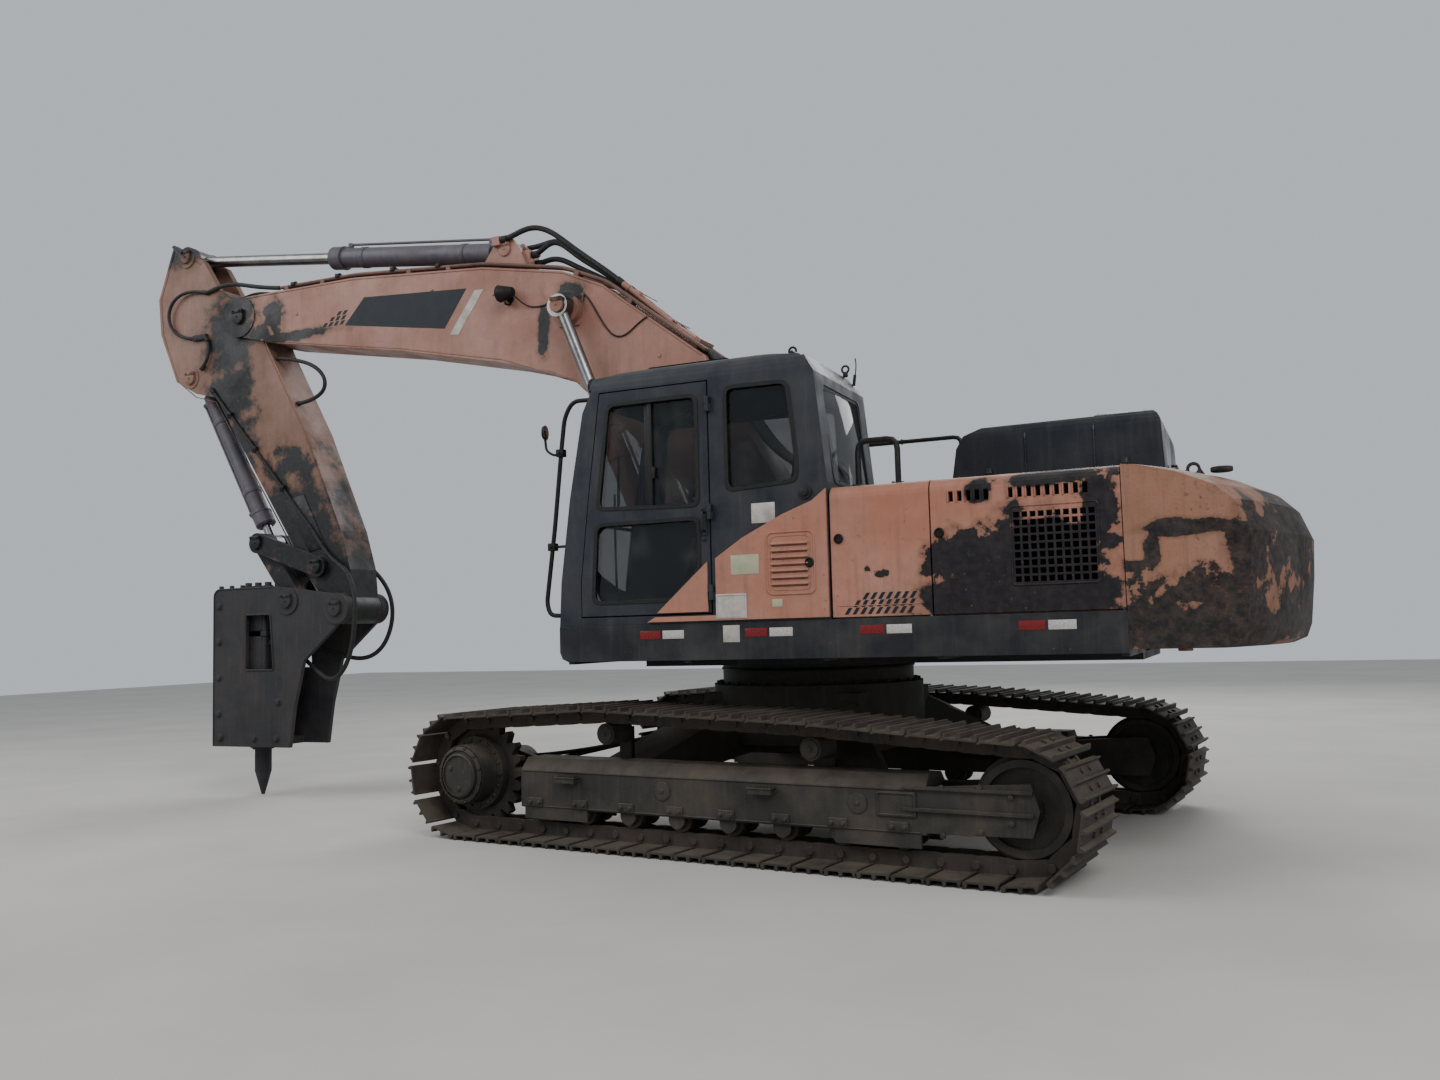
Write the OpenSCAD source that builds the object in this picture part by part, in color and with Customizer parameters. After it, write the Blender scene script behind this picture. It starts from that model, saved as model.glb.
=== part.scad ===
// Crawler excavator with a side mounted hydraulic breaker.
// Frame: X forward to the boom, Y to the machine's left, Z up, origin on the
// ground under the slewing axis, house pointing along X.

/* [Undercarriage] */
// Turn of the undercarriage under the house, in degrees
uc_turn = -7.4; // [-30:0.1:30]
// Sprocket centre to idler centre
track_l = 3640; // [3200:10:4000]
// Track centre to track centre
gauge = 2580; // [2200:10:2700]
// Width of a track shoe
shoe_w = 600; // [450:10:700]
// Pitch of the track chain
shoe_pitch = 190; // [160:1:216]
// Height of the grousers on a shoe
lug_h = 26; // [15:1:40]
// Thickness of a shoe plate
shoe_t = 12; // [8:1:16]
// Height of a chain link outside its pin line
link_out = 38; // [30:1:45]
// Height of a chain link inside its pin line
link_in = 45; // [35:1:55]
// Radius of the sprocket's pitch circle
sprocket_r = 325; // [300:1:350]
// Radius of the chain's pin line round the idler
idler_r = 290; // [270:1:310]
// Height of the track frame beam
frame_h = 300; // [220:5:340]
// Width of the track frame beam
frame_w = 300; // [240:5:340]

/* [House] */
// Half the width of the house
house_hw = 1364; // [1250:1:1450]
// Lowest edge of the skirts
skirt_z0 = 1115; // [1080:1:1160]
// Top of the skirts and of the deck
skirt_z1 = 1330; // [1300:1:1400]
// Front face of the cab's foot
front_x = 1180; // [1100:5:1250]
// Rear face of the cab
cab_x0 = -580; // [-640:5:-540]
// Inner side wall of the cab
cab_y0 = 430; // [425:5:460]
// Top of the side compartments
hood_z = 2068; // [1950:1:2150]
// Seam between the two left doors
seam_x = -1156; // [-1250:1:-1050]
// Front face of the counterweight
cw_x = -2138; // [-2250:1:-2050]
// Swing radius of the tail
tail_r = 3043; // [2900:1:3150]
// Top of the cab roof at its near edge
roof_z = 2850; // [2750:1:2950]
// Crown of the roof above its edge
roof_crown = 70; // [40:1:110]
// Wall of the cab
cab_t = 50; // [35:1:70]
// Thickness of a side door
door_t = 45; // [30:1:60]
// Gap round doors and lids
door_gap = 8; // [7:1:12]
// Top of the raised engine cover
cover_z = 2500; // [2400:5:2600]

/* [Boom] */
// Boom foot pin, forward and up
boom_foot = [100, 1800]; // [0:10:2000]
// Pin at the boom's nose that carries the arm
boom_nose = [5095, 4079]; // [3900:1:5200]
// Pin of the boom cylinders on the boom
boom_pin = [1790, 3680]; // [1600:10:3800]
// Half the width of the boom's box
boom_hw = 190; // [160:5:200]
// Radius of the main pins
pin_r = 45; // [35:1:55]
// Clearance in a pin joint
pin_gap = 0.3; // [0.1:0.1:1]
// Side gap between parts on one pin
side_gap = 6; // [5:1:10]

/* [Cylinders] */
// Boom cylinder pin on the frame
boom_cyl_foot = [860, 1390]; // [800:10:1500]
// Outer radius of a boom cylinder
boom_cyl_r = 78; // [60:1:90]
// Radius of a boom cylinder's rod
boom_rod_r = 43; // [35:1:50]
// Middle plane of a boom cylinder
boom_cyl_y = 320; // [318:1:325]
// Arm cylinder pin on the boom
arm_cyl_foot = [2420, 4270]; // [2300:10:4400]
// Arm cylinder pin on the arm
arm_cyl_eye = [5760, 4720]; // [4600:10:5900]
// Outer radius of the arm cylinder
arm_cyl_r = 82; // [65:1:95]
// Radius of the arm cylinder's rod
arm_rod_r = 48; // [38:1:55]
// Tool cylinder pin on the arm
tool_cyl_foot = [5700, 3620]; // [3500:10:5800]
// Outer radius of the tool cylinder
tool_cyl_r = 70; // [55:1:80]
// Radius of the tool cylinder's rod
tool_rod_r = 40; // [32:1:48]

/* [Arm and tool] */
// Pin at the arm's tip
arm_tip = [3986, 1544]; // [1400:1:4200]
// Pin of the links on the arm
link_foot = [4230, 1893]; // [1800:1:4400]
// Pin of the links and the tool cylinder
link_knee = [4880, 2120]; // [2000:1:5000]
// Pin of the push link on the tool
tool_pin = [4500, 1620]; // [1500:1:4600]
// Half the width of the arm's box
arm_hw = 155; // [120:5:180]
// Front and rear of the breaker's side plates
tool_x = [4600, 5330]; // [4500:5:5500]
// Lower and upper end of the breaker's side plates
tool_z = [430, 1750]; // [300:5:1900]
// Half the width over the breaker's side plates
tool_hw = 235; // [200:5:260]
// Thickness of a breaker side plate
tool_t = 35; // [20:1:50]
// Radius of the chisel
chisel_r = 68; // [50:1:80]
// Height of the chisel's point above the ground
chisel_z = 10; // [5:1:60]

/* [Hidden] */
$fn = 32;

chain_out = link_out + shoe_t;
ground_pin_z = chain_out + lug_h;
sprocket_x = track_l / 2;
idler_x = -track_l / 2;
sprocket_z = ground_pin_z + sprocket_r;
idler_z = ground_pin_z + idler_r;
carrier_r = 65;
roller_r = 78;
carrier_path_r = carrier_r + link_in;
// Carrier rollers: place along the track, height of the pin line above them
carriers = [[750, 785], [-650, 735]];
frame_z0 = 215;
frame_x = [-1330, 1380];
frame_top = frame_z0 + frame_h;
ring_z0 = 930;
ring_z1 = 1060;
ring_r = 640;
deck_t = 30;
bracket_y = 200;
bracket_t = 32;
beam_z = 1300;
eye_hw = 45;

// Prism of an outline in X and Z between two planes across Y
module prism(points, y0, y1) {
    translate([0, y1, 0]) rotate([90, 0, 0]) linear_extrude(y1 - y0) polygon(points);
}
// The same from a child outline
module slab(y0, y1) {
    translate([0, y1, 0]) rotate([90, 0, 0]) linear_extrude(y1 - y0) children();
}
// Round bar across Y at a point in X and Z
module bar(p, r, y0, y1) {
    translate([p[0], y1, p[1]]) rotate([90, 0, 0]) cylinder(r = r, h = y1 - y0);
}
// Prism of an outline in Y and Z, given as a child, between two places along X
module along_x(x0, x1) {
    rotate([90, 0, 90]) translate([0, 0, x0]) linear_extrude(x1 - x0) children();
}
// Box from its low corner to its high corner
module block(a, b) { translate(a) cube(b - a); }
module both() { children(); mirror([0, 1, 0]) children(); }
// Carries children from the undercarriage's own frame to the machine's
module under() { rotate([0, 0, uc_turn]) children(); }
// Puts the X axis of children along the line from a to b in X and Z
module along(a, b) {
    translate([a[0], 0, a[1]]) rotate([0, -atan2(b[1] - a[1], b[0] - a[0]), 0]) children();
}
function gap2(a, b) = norm([b[0] - a[0], b[1] - a[1]]);
function unit2(a, b) = (b - a) / gap2(a, b);
function arc(c, r, a0, a1, n) =
    [for (i = [0 : n]) let (a = a0 + (a1 - a0) * i / n) [c[0] + r * cos(a), c[1] + r * sin(a)]];

// The chain runs as a belt round these circles, counterclockwise: centre and radius
belt = concat([[[sprocket_x, sprocket_z], sprocket_r]],
    [for (c = carriers) [[c[0], c[1] - carrier_path_r], carrier_path_r]],
    [[[idler_x, idler_z], idler_r]]);
belt_n = len(belt);
function belt_dir(a, b) = let (d = b[0] - a[0])
    atan2(d[1], d[0]) - acos((a[1] - b[1]) / norm(d));
belt_out = [for (i = [0 : belt_n - 1]) belt_dir(belt[i], belt[(i + 1) % belt_n])];
function wrap(a) = a < 0 ? a + 360 : a >= 360 ? a - 360 : a;
belt_in = [for (i = [0 : belt_n - 1]) belt_out[(i + belt_n - 1) % belt_n]];
belt_turn = [for (i = [0 : belt_n - 1]) wrap(belt_out[i] - belt_in[i])];
belt_arc = [for (i = [0 : belt_n - 1]) belt_turn[i] * PI / 180 * belt[i][1]];
function belt_at(i, a) = belt[i][0] + belt[i][1] * [cos(a), sin(a)];
belt_run = [for (i = [0 : belt_n - 1])
    norm(belt_at((i + 1) % belt_n, belt_out[i]) - belt_at(i, belt_out[i]))];
function sum(v, n) = n <= 0 ? 0 : v[n - 1] + sum(v, n - 1);
belt_l = sum(belt_arc, belt_n) + sum(belt_run, belt_n);
shoes = round(belt_l / shoe_pitch);
pitch = belt_l / shoes;
// Place on the belt after a length s, from circle i on: point and outward angle
function belt_place(s, i = 0) =
    s < belt_arc[i] ?
        let (a = belt_in[i] + s / belt[i][1] * 180 / PI) [belt_at(i, a), a]
    : s < belt_arc[i] + belt_run[i] ?
        let (p = belt_at(i, belt_out[i]), q = belt_at((i + 1) % belt_n, belt_out[i]))
        [p + (q - p) * (s - belt_arc[i]) / belt_run[i], belt_out[i]]
    : belt_place(s - belt_arc[i] - belt_run[i], (i + 1) % belt_n);
function on_shoe(place, t, h) =
    place[0] + h * [cos(place[1]), sin(place[1])] + t * [-sin(place[1]), cos(place[1])];
// A shoe's outer profile: place along it, height over its plate
shoe_half = shoe_pitch * 0.475;
shoe_profile = [[-shoe_half, 0], [-shoe_half + 7, lug_h], [-shoe_half + 15, 0], [-8, 0],
    [-4, lug_h], [4, lug_h], [8, 0], [shoe_half - 15, 0], [shoe_half - 7, lug_h * 0.7], [shoe_half, 0]];
module track_loop() {
    places = [for (i = [0 : shoes - 1]) belt_place((i + 0.5) * pitch)];
    outer = [for (p = places) for (q = shoe_profile) on_shoe(p, q[0], chain_out + q[1])];
    inner = [for (p = places) for (t = [-shoe_half, shoe_half]) on_shoe(p, t, link_out)];
    slab(-shoe_w / 2, shoe_w / 2) difference() { polygon(outer); polygon(inner); }
}
hub_y0 = -108;
rail_y = 50;
rail_w = 38;
function belt_line(h) = [for (i = [0 : belt_n - 1])
    let (n = max(1, ceil(belt_turn[i] / 14)))
    for (k = [0 : n]) let (a = belt_in[i] + belt_turn[i] * k / n)
        belt[i][0] + (belt[i][1] + h) * [cos(a), sin(a)]];
module chain_rails() {
    both() slab(rail_y, rail_y + rail_w) difference() {
        polygon(belt_line(link_out + 3));
        polygon(belt_line(-link_in));
    }
}
module track(side) {
    color([0.24, 0.22, 0.2]) under() translate([0, side * gauge / 2, 0]) {
        track_loop();
        chain_rails();
    }
}

guide_l = 490;
step_x = [-380, 990];
module track_frame() {
    x0 = frame_x[0];
    x1 = frame_x[1];
    hw = frame_w / 2;
    wall = 14;
    bed_z = frame_z0 + 75;
    translate([0, gauge / 2, 0]) {
        rotate([90, 0, 90]) translate([0, 0, x0]) linear_extrude(x1 - x0)
            polygon([[-hw, frame_z0], [wall - hw, frame_z0], [wall - hw, bed_z], [hw - wall, bed_z],
                [hw - wall, frame_z0], [hw, frame_z0], [hw, frame_top - 70], [hw * 0.55, frame_top],
                [-hw * 0.55, frame_top], [-hw, frame_top - 70]]);
        // Motor plate at the sprocket
        prism([[x1 - 40, frame_z0 + 20], [sprocket_x - 120, sprocket_z - 170],
            [sprocket_x - 120, sprocket_z + 150], [x1 - 40, frame_top - 60]], -hw, hub_y0 - 0.3);
        bar([sprocket_x, sprocket_z], 205, -hw, hub_y0 - 0.3);
        // Yoke plates at the idler
        both() prism([[x0 + 40, frame_z0 + 10], [idler_x - 60, idler_z - 130], [idler_x - 100, idler_z],
            [idler_x - 60, idler_z + 130], [x0 + 40, frame_top - 60]], hw - 32, hw);
        for (z = [idler_z - 30, idler_z + 80]) block([idler_x - 70, hw - 1, z], [x0 + 120, hw + 18, z + 16]);
        // Carrier roller posts on the inner side
        for (c = carriers) block([c[0] - 45, -hw + 6, frame_top - 110],
            [c[0] + 45, -rail_y - rail_w - 20, c[1] - carrier_path_r + 30]);
        // Track guides under the beam and steps on its outer face
        for (x = [x0 + 30, x1 - 30 - guide_l])
            both() block([x, hw - wall, frame_z0 - 70], [x + guide_l, hw, frame_z0 + 1]);
        for (x = step_x) block([x - 75, hw - 1, frame_top - 135], [x + 75, hw + 55, frame_top - 105]);
    }
}
module track_frames() {
    color([0.2, 0.19, 0.18]) under() both() track_frame();
}

module sprocket_teeth() {
    teeth = round(2 * PI * sprocket_r / shoe_pitch) * 2;
    slab(-30, 30) difference() {
        polygon([for (i = [0 : teeth - 1]) for (k = [[-0.42, -42], [-0.14, 12], [0.14, 12], [0.42, -42]])
            let (a = (i + k[0]) * 360 / teeth) (sprocket_r + k[1]) * [cos(a), sin(a)]]);
        circle(r = 120);
    }
}
module sprockets() {
    color([0.2, 0.19, 0.18]) under() both() translate([sprocket_x, gauge / 2, sprocket_z]) {
        sprocket_teeth();
        bar([0, 0], 190, hub_y0, 225);
        bar([0, 0], 235, 30, 95);
        bar([0, 0], 150, 225, 245);
    }
}
module idlers() {
    color([0.2, 0.19, 0.18]) under() for (side = [-1, 1])
        translate([idler_x, side * gauge / 2, idler_z]) difference() {
            union() {
                bar([0, 0], idler_r - link_in - 2.4, -rail_y - rail_w, rail_y + rail_w);
                bar([0, 0], idler_r - link_in + 22, -rail_y + 3, rail_y - 3);
                bar([0, 0], 60, -frame_w / 2 + 32.3, frame_w / 2 - 32.3);
            }
            both() slab(rail_y + 6, rail_y + rail_w + 1) difference() {
                circle(r = idler_r - link_in - 42);
                circle(r = 95);
            }
        }
}
bottom_rollers = 8;
module rollers() {
    z = ground_pin_z + link_in + roller_r + 0.5;
    first = idler_x + 640;
    last = sprocket_x - 560;
    rim = rail_y + rail_w;
    color([0.2, 0.19, 0.18]) under() both() translate([0, gauge / 2, 0]) {
        for (i = [0 : bottom_rollers - 1]) let (x = first + (last - first) * i / (bottom_rollers - 1)) {
            both() bar([x, z], roller_r, rail_y - 4, rim + 4);
            bar([x, z], 55, -frame_w / 2 + 14.3, frame_w / 2 - 14.3);
        }
        for (c = carriers) bar([c[0], c[1] - carrier_path_r], carrier_r - 0.5, -rim - 19.7, rim + 6);
    }
}

// Towing plates at both ends of the carbody, with an upright hole
tow_x = 790;
tow_z = [560, 600];
tow_r = 40;
module tow_plate() {
    translate([tow_x, 0, tow_z[0]]) cylinder(r = tow_r + 50, h = tow_z[1] - tow_z[0]);
    block([ring_r - 40, -tow_r - 50, tow_z[0]], [tow_x, tow_r + 50, tow_z[1]]);
}
// Body between the tracks: half width of its box, bottom and top of the box, foot of its turret
car_hw = 560;
car_z = [500, 880];
turret_z = 560;
module carbody() {
    leg_y = gauge / 2 - frame_w / 2 - 30.3;
    color([0.2, 0.19, 0.18]) under() difference() {
        union() {
            translate([0, 0, turret_z]) cylinder(r = ring_r + 60, h = ring_z0 - turret_z);
            block([-car_hw, -car_hw, car_z[0]], [car_hw, car_hw, car_z[1]]);
            for (sx = [-1, 1]) for (sy = [-1, 1]) carbody_leg(sx, sy, leg_y);
            tow_plate();
            mirror([1, 0, 0]) tow_plate();
        }
        translate([0, 0, car_z[0] - 100]) cylinder(r = 300, h = 600);
        for (sx = [-1, 1])
            translate([sx * tow_x, 0, tow_z[0] - 5]) cylinder(r = tow_r, h = tow_z[1] - tow_z[0] + 10);
    }
}
module carbody_leg(sx, sy, leg_y) {
    hull() {
        translate([sx * 330 - 165, sy * (car_hw - 60) - 30, car_z[0] + 20]) cube([330, 60, 330]);
        translate([sx * 820 - 165, sy * leg_y - 30, frame_z0 + 105]) cube([330, 60, 150]);
    }
}
module slew_ring() {
    color([0.16, 0.16, 0.16]) difference() {
        translate([0, 0, ring_z0]) cylinder(r = ring_r, h = ring_z1 - ring_z0 - 0.3);
        translate([0, 0, ring_z0 - 1]) cylinder(r = ring_r - 130, h = ring_z1 - ring_z0 + 2);
    }
}

module revolving_frame() {
    color([0.17, 0.17, 0.18]) {
        difference() {
            union() {
                // Bottom plate over the slewing ring
                block([cw_x, -620, ring_z1], [980, 620, ring_z1 + 45]);
                translate([0, 0, ring_z1]) cylinder(r = ring_r + 60, h = 45);
                // Side decks and skirts
                both() block([cw_x, bracket_y + bracket_t - 1, skirt_z1 - deck_t],
                    [boom_cyl_foot[0] - 160, house_hw - 10, skirt_z1]);
                both() block([cw_x, cab_y0 - 10, skirt_z1 - deck_t], [front_x - 20, house_hw - 10, skirt_z1]);
                both() skirt();
                for (x = [cw_x, -1200, -560, 300, front_x - 90])
                    both() block([x, cab_y0, ring_z1 + 40], [x + 40, house_hw - 20, skirt_z1 - deck_t + 1]);
                // Boom brackets with the feet of the boom cylinders
                both() prism(bracket_outline(), bracket_y, bracket_y + bracket_t);
                both() bar(boom_foot, 130, bracket_y, bracket_y + bracket_t + 25);
                both() bar(boom_cyl_foot, 95, bracket_y, boom_cyl_y - eye_hw - side_gap);
                both() prism(lug_outline(), lug_y, lug_y + 26);
            }
            translate([0, 0, ring_z1 - 10]) cylinder(r = 260, h = 80);
        }
        bar(boom_foot, pin_r, -bracket_y - bracket_t - 30, bracket_y + bracket_t + 30);
        both() bar(boom_cyl_foot, pin_r, bracket_y, lug_y + 30);
    }
}
lug_y = boom_cyl_y + eye_hw + side_gap;
function lug_outline() = let (x = boom_cyl_foot[0], z = ring_z1 + 30)
    concat([[x - 130, z], [x + 110, z]], arc(boom_cyl_foot, 95, -10, 190, 8));
module skirt() {
    r = 60;
    prism([[cw_x, skirt_z0], [front_x - r, skirt_z0], [front_x - r * 0.3, skirt_z0 + r * 0.3],
        [front_x, skirt_z0 + r], [front_x, skirt_z1], [cw_x, skirt_z1]], house_hw - 30, house_hw);
}
function bracket_outline() = concat([[cw_x + 60, ring_z1 + 10], [boom_cyl_foot[0] + 110, ring_z1 + 10]],
    arc(boom_cyl_foot, 100, -10, 100, 6), [[600, 1500], [boom_foot[0] + 150, boom_foot[1] - 40]],
    arc(boom_foot, 150, 10, 170, 8), [[-260, 1500], [-700, beam_z], [cw_x + 60, beam_z]]);

cab_front = [[front_x, skirt_z1], [front_x - 15, 1600], [front_x - 85, 2110], [front_x - 185, 2640],
    [front_x - 260, roof_z - 60]];
cab_back = [[cab_x0 + 120, roof_z - 10], [cab_x0 + 60, roof_z - 110], [cab_x0, 2100], [cab_x0, skirt_z1]];
function cab_side() = concat(cab_front, [[front_x - 330, roof_z]], cab_back);
module cab_outline() { polygon(cab_side()); }
function cab_face(z) = lookup(z, [for (p = cab_front) [p[1], p[0]]]);
// Hinge on an upright axis: the fixed side's knuckles stand below the door's; leaf gives its sides
knuckle_r = 14;
knuckle_h = 45;
module knuckles(x, y, zs, moving, leaf) {
    for (z = zs) translate([x, y, z + (moving ? knuckle_h + 0.3 : 0)]) {
        cylinder(r = knuckle_r, h = knuckle_h);
        translate([min(0, leaf[0]), min(0, leaf[1]), 0])
            cube([abs(leaf[0]) + 0.01, abs(leaf[1]) + 0.01, knuckle_h]);
    }
}
door_x = [140, 985];
door_z = [skirt_z1 + 50, 2755];
function door_outline(g) = [[door_x[0] + g, door_z[0] + g], [door_x[1] + 40 - g, door_z[0] + g],
    [door_x[1] + 40 - g, 1600], [door_x[1] - 20 - g, 2110], [door_x[1] - 110 - g, door_z[1] - g],
    [door_x[0] + g, door_z[1] - g]];
// Windows: their outlines, with corners rounded by a radius, and the gap round a pane
window_r = 50;
glass_gap = 0.3;
upper_window = [[door_x[0] + 70, 2010], [door_x[1] - 80, 2030], [door_x[1] - 165, door_z[1] - 75],
    [door_x[0] + 70, door_z[1] - 75]];
lower_window = [[door_x[0] + 260, skirt_z1 + 130], [door_x[1] - 40, skirt_z1 + 130],
    [door_x[1] - 70, 1950], [door_x[0] + 70, 1950], [door_x[0] + 70, 1640]];
rear_side_window = [[40, 2085], [40, 2705], [-365, 2700], [-410, 2240], [-410, 2110]];
right_window = [[-380, 1800], [960, 1800], [890, 2680], [-340, 2680]];
front_window = [[cab_y0 + 90, 1480], [house_hw - 95, roof_z - 140]];
rear_window = [[cab_y0 + 120, 2100], [house_hw - 130, 2680]];
module rounded(points, g = 0) {
    offset(r = window_r - g, $fn = 16) offset(delta = -window_r) polygon(points);
}
module window(points, y0, y1, g = 0) { slab(y0, y1) rounded(points, g); }
function corners(w) = [w[0], [w[1][0], w[0][1]], w[1], [w[0][0], w[1][1]]];
roof_r = 120;
// Cross-section of the cab, rounded along the edges of its roof
module cab_section() {
    y1 = house_hw - 4;
    top = roof_z + 40;
    polygon(concat([[cab_y0, skirt_z1], [y1, skirt_z1]], arc([y1 - roof_r, top - roof_r], roof_r, 0, 90, 6),
        [[(cab_y0 + y1) / 2, roof_z + roof_crown]],
        arc([cab_y0 + roof_r, top - roof_r], roof_r, 90, 180, 6)));
}
// Outline of the crowned roof from the side
function roof_outline() = concat([[front_x - 235, roof_z - 70]],
    [for (i = [0 : 6]) [front_x - 250 - i * (front_x - 400 - cab_x0) / 6,
        roof_z + roof_crown * sin(i * 30) * 0.9]],
    [[cab_x0 + 100, roof_z - 60]]);
knuckle_y = house_hw + knuckle_r + 0.3;
module cab_shell() {
    y0 = house_hw - 10 - cab_t;
    y1 = house_hw + 5;
    color([0.13, 0.14, 0.15]) knuckles(door_x[0], knuckle_y, door_hinge_z, false, [-22, -24]);
    color([0.13, 0.14, 0.15]) difference() {
        intersection() {
            union() {
                slab(cab_y0, house_hw - 4) cab_outline();
                slab(cab_y0, house_hw - 4) polygon(roof_outline());
            }
            along_x(cab_x0 - 10, front_x + 10) cab_section();
        }
        slab(cab_y0 + cab_t, house_hw - 4 - cab_t) offset(delta = -cab_t) cab_outline();
        prism(door_outline(0), y0, y1);
        window(rear_side_window, y0, y1);
        window(right_window, cab_y0 - 5, cab_y0 + cab_t + 5);
        along_x(front_x - 330, front_x + 20) rounded(corners(front_window));
        along_x(cab_x0 - 20, cab_x0 + cab_t + 90) rounded(corners(rear_window));
    }
}
glass_t = 6;
module cab_glass() {
    color([0.35, 0.42, 0.45, 0.5]) {
        intersection() {
            slab(cab_y0, house_hw) difference() {
                polygon([for (p = cab_side()) [p[0] - 12, p[1]]]);
                polygon([for (p = cab_side()) [p[0] - 20, p[1]]]);
            }
            along_x(front_x - 330, front_x + 20) rounded(corners(front_window), glass_gap);
        }
        window(rear_side_window, house_hw - 30, house_hw - 30 + glass_t, glass_gap);
        window(right_window, cab_y0 + 20, cab_y0 + 20 + glass_t, glass_gap);
    }
}
// Seat: middle plane, half width and length of its base, pads set in from the base by an inset
seat_y = 880;
seat_hw = 260;
seat_x = [-420, 240];
seat_inset = 20;
seat_z = [skirt_z1 + cab_t + 0.3, skirt_z1 + 330, skirt_z1 + 460, skirt_z1 + 1080];
module cab_seat() {
    hw = seat_hw - seat_inset;
    x = seat_x[0] + 160;
    z = seat_z[2] - 60;
    color([0.1, 0.1, 0.11]) {
        block([seat_x[0], seat_y - seat_hw, seat_z[0]], [seat_x[1], seat_y + seat_hw, seat_z[1]]);
        block([x, seat_y - hw, seat_z[1] - 1], [seat_x[1] - 10, seat_y + hw, seat_z[2]]);
        prism([[x, z], [x + 140, z], [x + 40, seat_z[3]], [x - 80, seat_z[3]]],
            seat_y - hw + 10, seat_y + hw - 10);
    }
}
door_hinge_z = [skirt_z1 + 130, 1930, door_z[1] - 190];
module cab_door() {
    color([0.13, 0.14, 0.15]) knuckles(door_x[0], knuckle_y, door_hinge_z, true, [22, -20]);
    color([0.13, 0.14, 0.15]) difference() {
        prism(door_outline(door_gap), house_hw - 4 - cab_t, house_hw);
        for (w = [upper_window, lower_window]) window(w, house_hw - 80, house_hw + 10);
    }
}
module cab_door_glass() {
    y = house_hw - 32;
    color([0.35, 0.42, 0.45, 0.5])
        for (w = [upper_window, lower_window]) window(w, y, y + glass_t, glass_gap);
}
// Salmon cover behind and below the door: its sweeping upper edge from front to rear
swoosh = [[112, 1700], [-60, 1810], [-310, 1930], [-490, 1995], [-575, 2060]];
swoosh_foot = [[565, skirt_z1 + 12], [510, door_z[0] - door_gap]];
module cab_side_cover() {
    color([0.86, 0.55, 0.43]) difference() {
        prism(concat(swoosh_foot, [[swoosh[0][0], door_z[0] - door_gap]], swoosh, [[-575, skirt_z1 + 12]]),
            house_hw - 3.7, house_hw + 14);
        for (i = [0 : 6]) block([-455, house_hw + 4, 1520 + i * 38], [-245, house_hw + 20, 1538 + i * 38]);
    }
}
// The same cover's part on the door
module door_cover() {
    x = door_x[0] + 25;
    z = door_z[0] + door_gap + 6;
    color([0.86, 0.55, 0.43]) prism([[x, z], [500, z], [x, z + 290]], house_hw + 0.3, house_hw + 12);
}

// Side doors fold over the top edge with a lip, and turn on pivots near their outer rear corner
lip_w = 80;
edge_r = 70;
pivot_in = 8;
shell_y = house_hw - door_t - 2;
function folded(y1, z0, z1) = concat([[y1 - door_t, z0], [y1, z0]],
    arc([y1 - edge_r, z1 - edge_r], edge_r, 0, 90, 5),
    [[y1 - lip_w, z1], [y1 - lip_w, z1 - door_t], [y1 - door_t, z1 - door_t]]);
function rounded_top(y0, y1, z0, z1) =
    concat([[y0, z0], [y1, z0]], arc([y1 - edge_r, z1 - edge_r], edge_r, 0, 90, 5), [[y0, z1]]);
module rear_shell() {
    bay = 60;
    lip_in = house_hw - lip_w - door_gap;
    color([0.8, 0.5, 0.4]) difference() {
        block([cw_x + 1, -shell_y, skirt_z1 + 0.3], [cab_x0 - 12, shell_y, hood_z]);
        // Inside, side openings, place of the tanks, opening under the cover
        block([cw_x + bay, -shell_y + bay, skirt_z1 - 5], [cab_x0 - 60, shell_y - bay, hood_z - 30]);
        block([cw_x + bay, shell_y - bay - 5, skirt_z1 + 40], [seam_x - 25, shell_y + 5, hood_z - 80]);
        block([seam_x + 25, shell_y - bay - 5, skirt_z1 + 40], [cab_x0 - 60, shell_y + 5, hood_z - 80]);
        block([cw_x + bay, -shell_y - 5, skirt_z1 + 40], [tank_x[0] - 40, -shell_y + bay + 5, hood_z - 80]);
        block([tank_x[0], -shell_y - 5, skirt_z1 - 5], [cab_x0, tank_y, hood_z + 5]);
        block([cab_x0 - 80, tank_y, skirt_z1 - 5], [cab_x0, cab_y0, hood_z + 5]);
        block([cover_x[0] + 220, cover_y[0] + 60, hood_z - 40],
            [cover_x[1] - 60, cover_y[1] - 60, hood_z + 5]);
        // Room for the doors' lips
        both() block([cw_x, lip_in, hood_z - door_t - 5], [cab_x0, shell_y + 5, hood_z + 5]);
    }
    // Fixed knuckles of the cover's hinge
    color([0.8, 0.5, 0.4]) for (y = cover_hinge_y) for (k = [-knuckle_h - 0.3, 60.3]) {
        bar(cover_hinge, knuckle_r, y + k, y + k + knuckle_h);
        block([cover_hinge[0] - 8, y + k, hood_z - 5],
            [cover_hinge[0] + 8, y + k + knuckle_h, cover_hinge[1]]);
    }
}
tank_x = [-850, -330, 260];
tank_y = -470;
cover_x = [-2300, -1060];
cover_y = [-760, 450];
module side_door(x0, x1) {
    a = x0 + door_gap / 2;
    along_x(a, x1 - door_gap / 2) polygon(folded(house_hw, skirt_z1 + 8, hood_z));
    translate([a + pivot_in, house_hw - pivot_in, skirt_z1 + 0.3]) cylinder(r = pivot_in, h = 9);
}
module left_front_door() {
    color([0.86, 0.55, 0.43]) side_door(seam_x, cab_x0 - 8);
}
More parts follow.
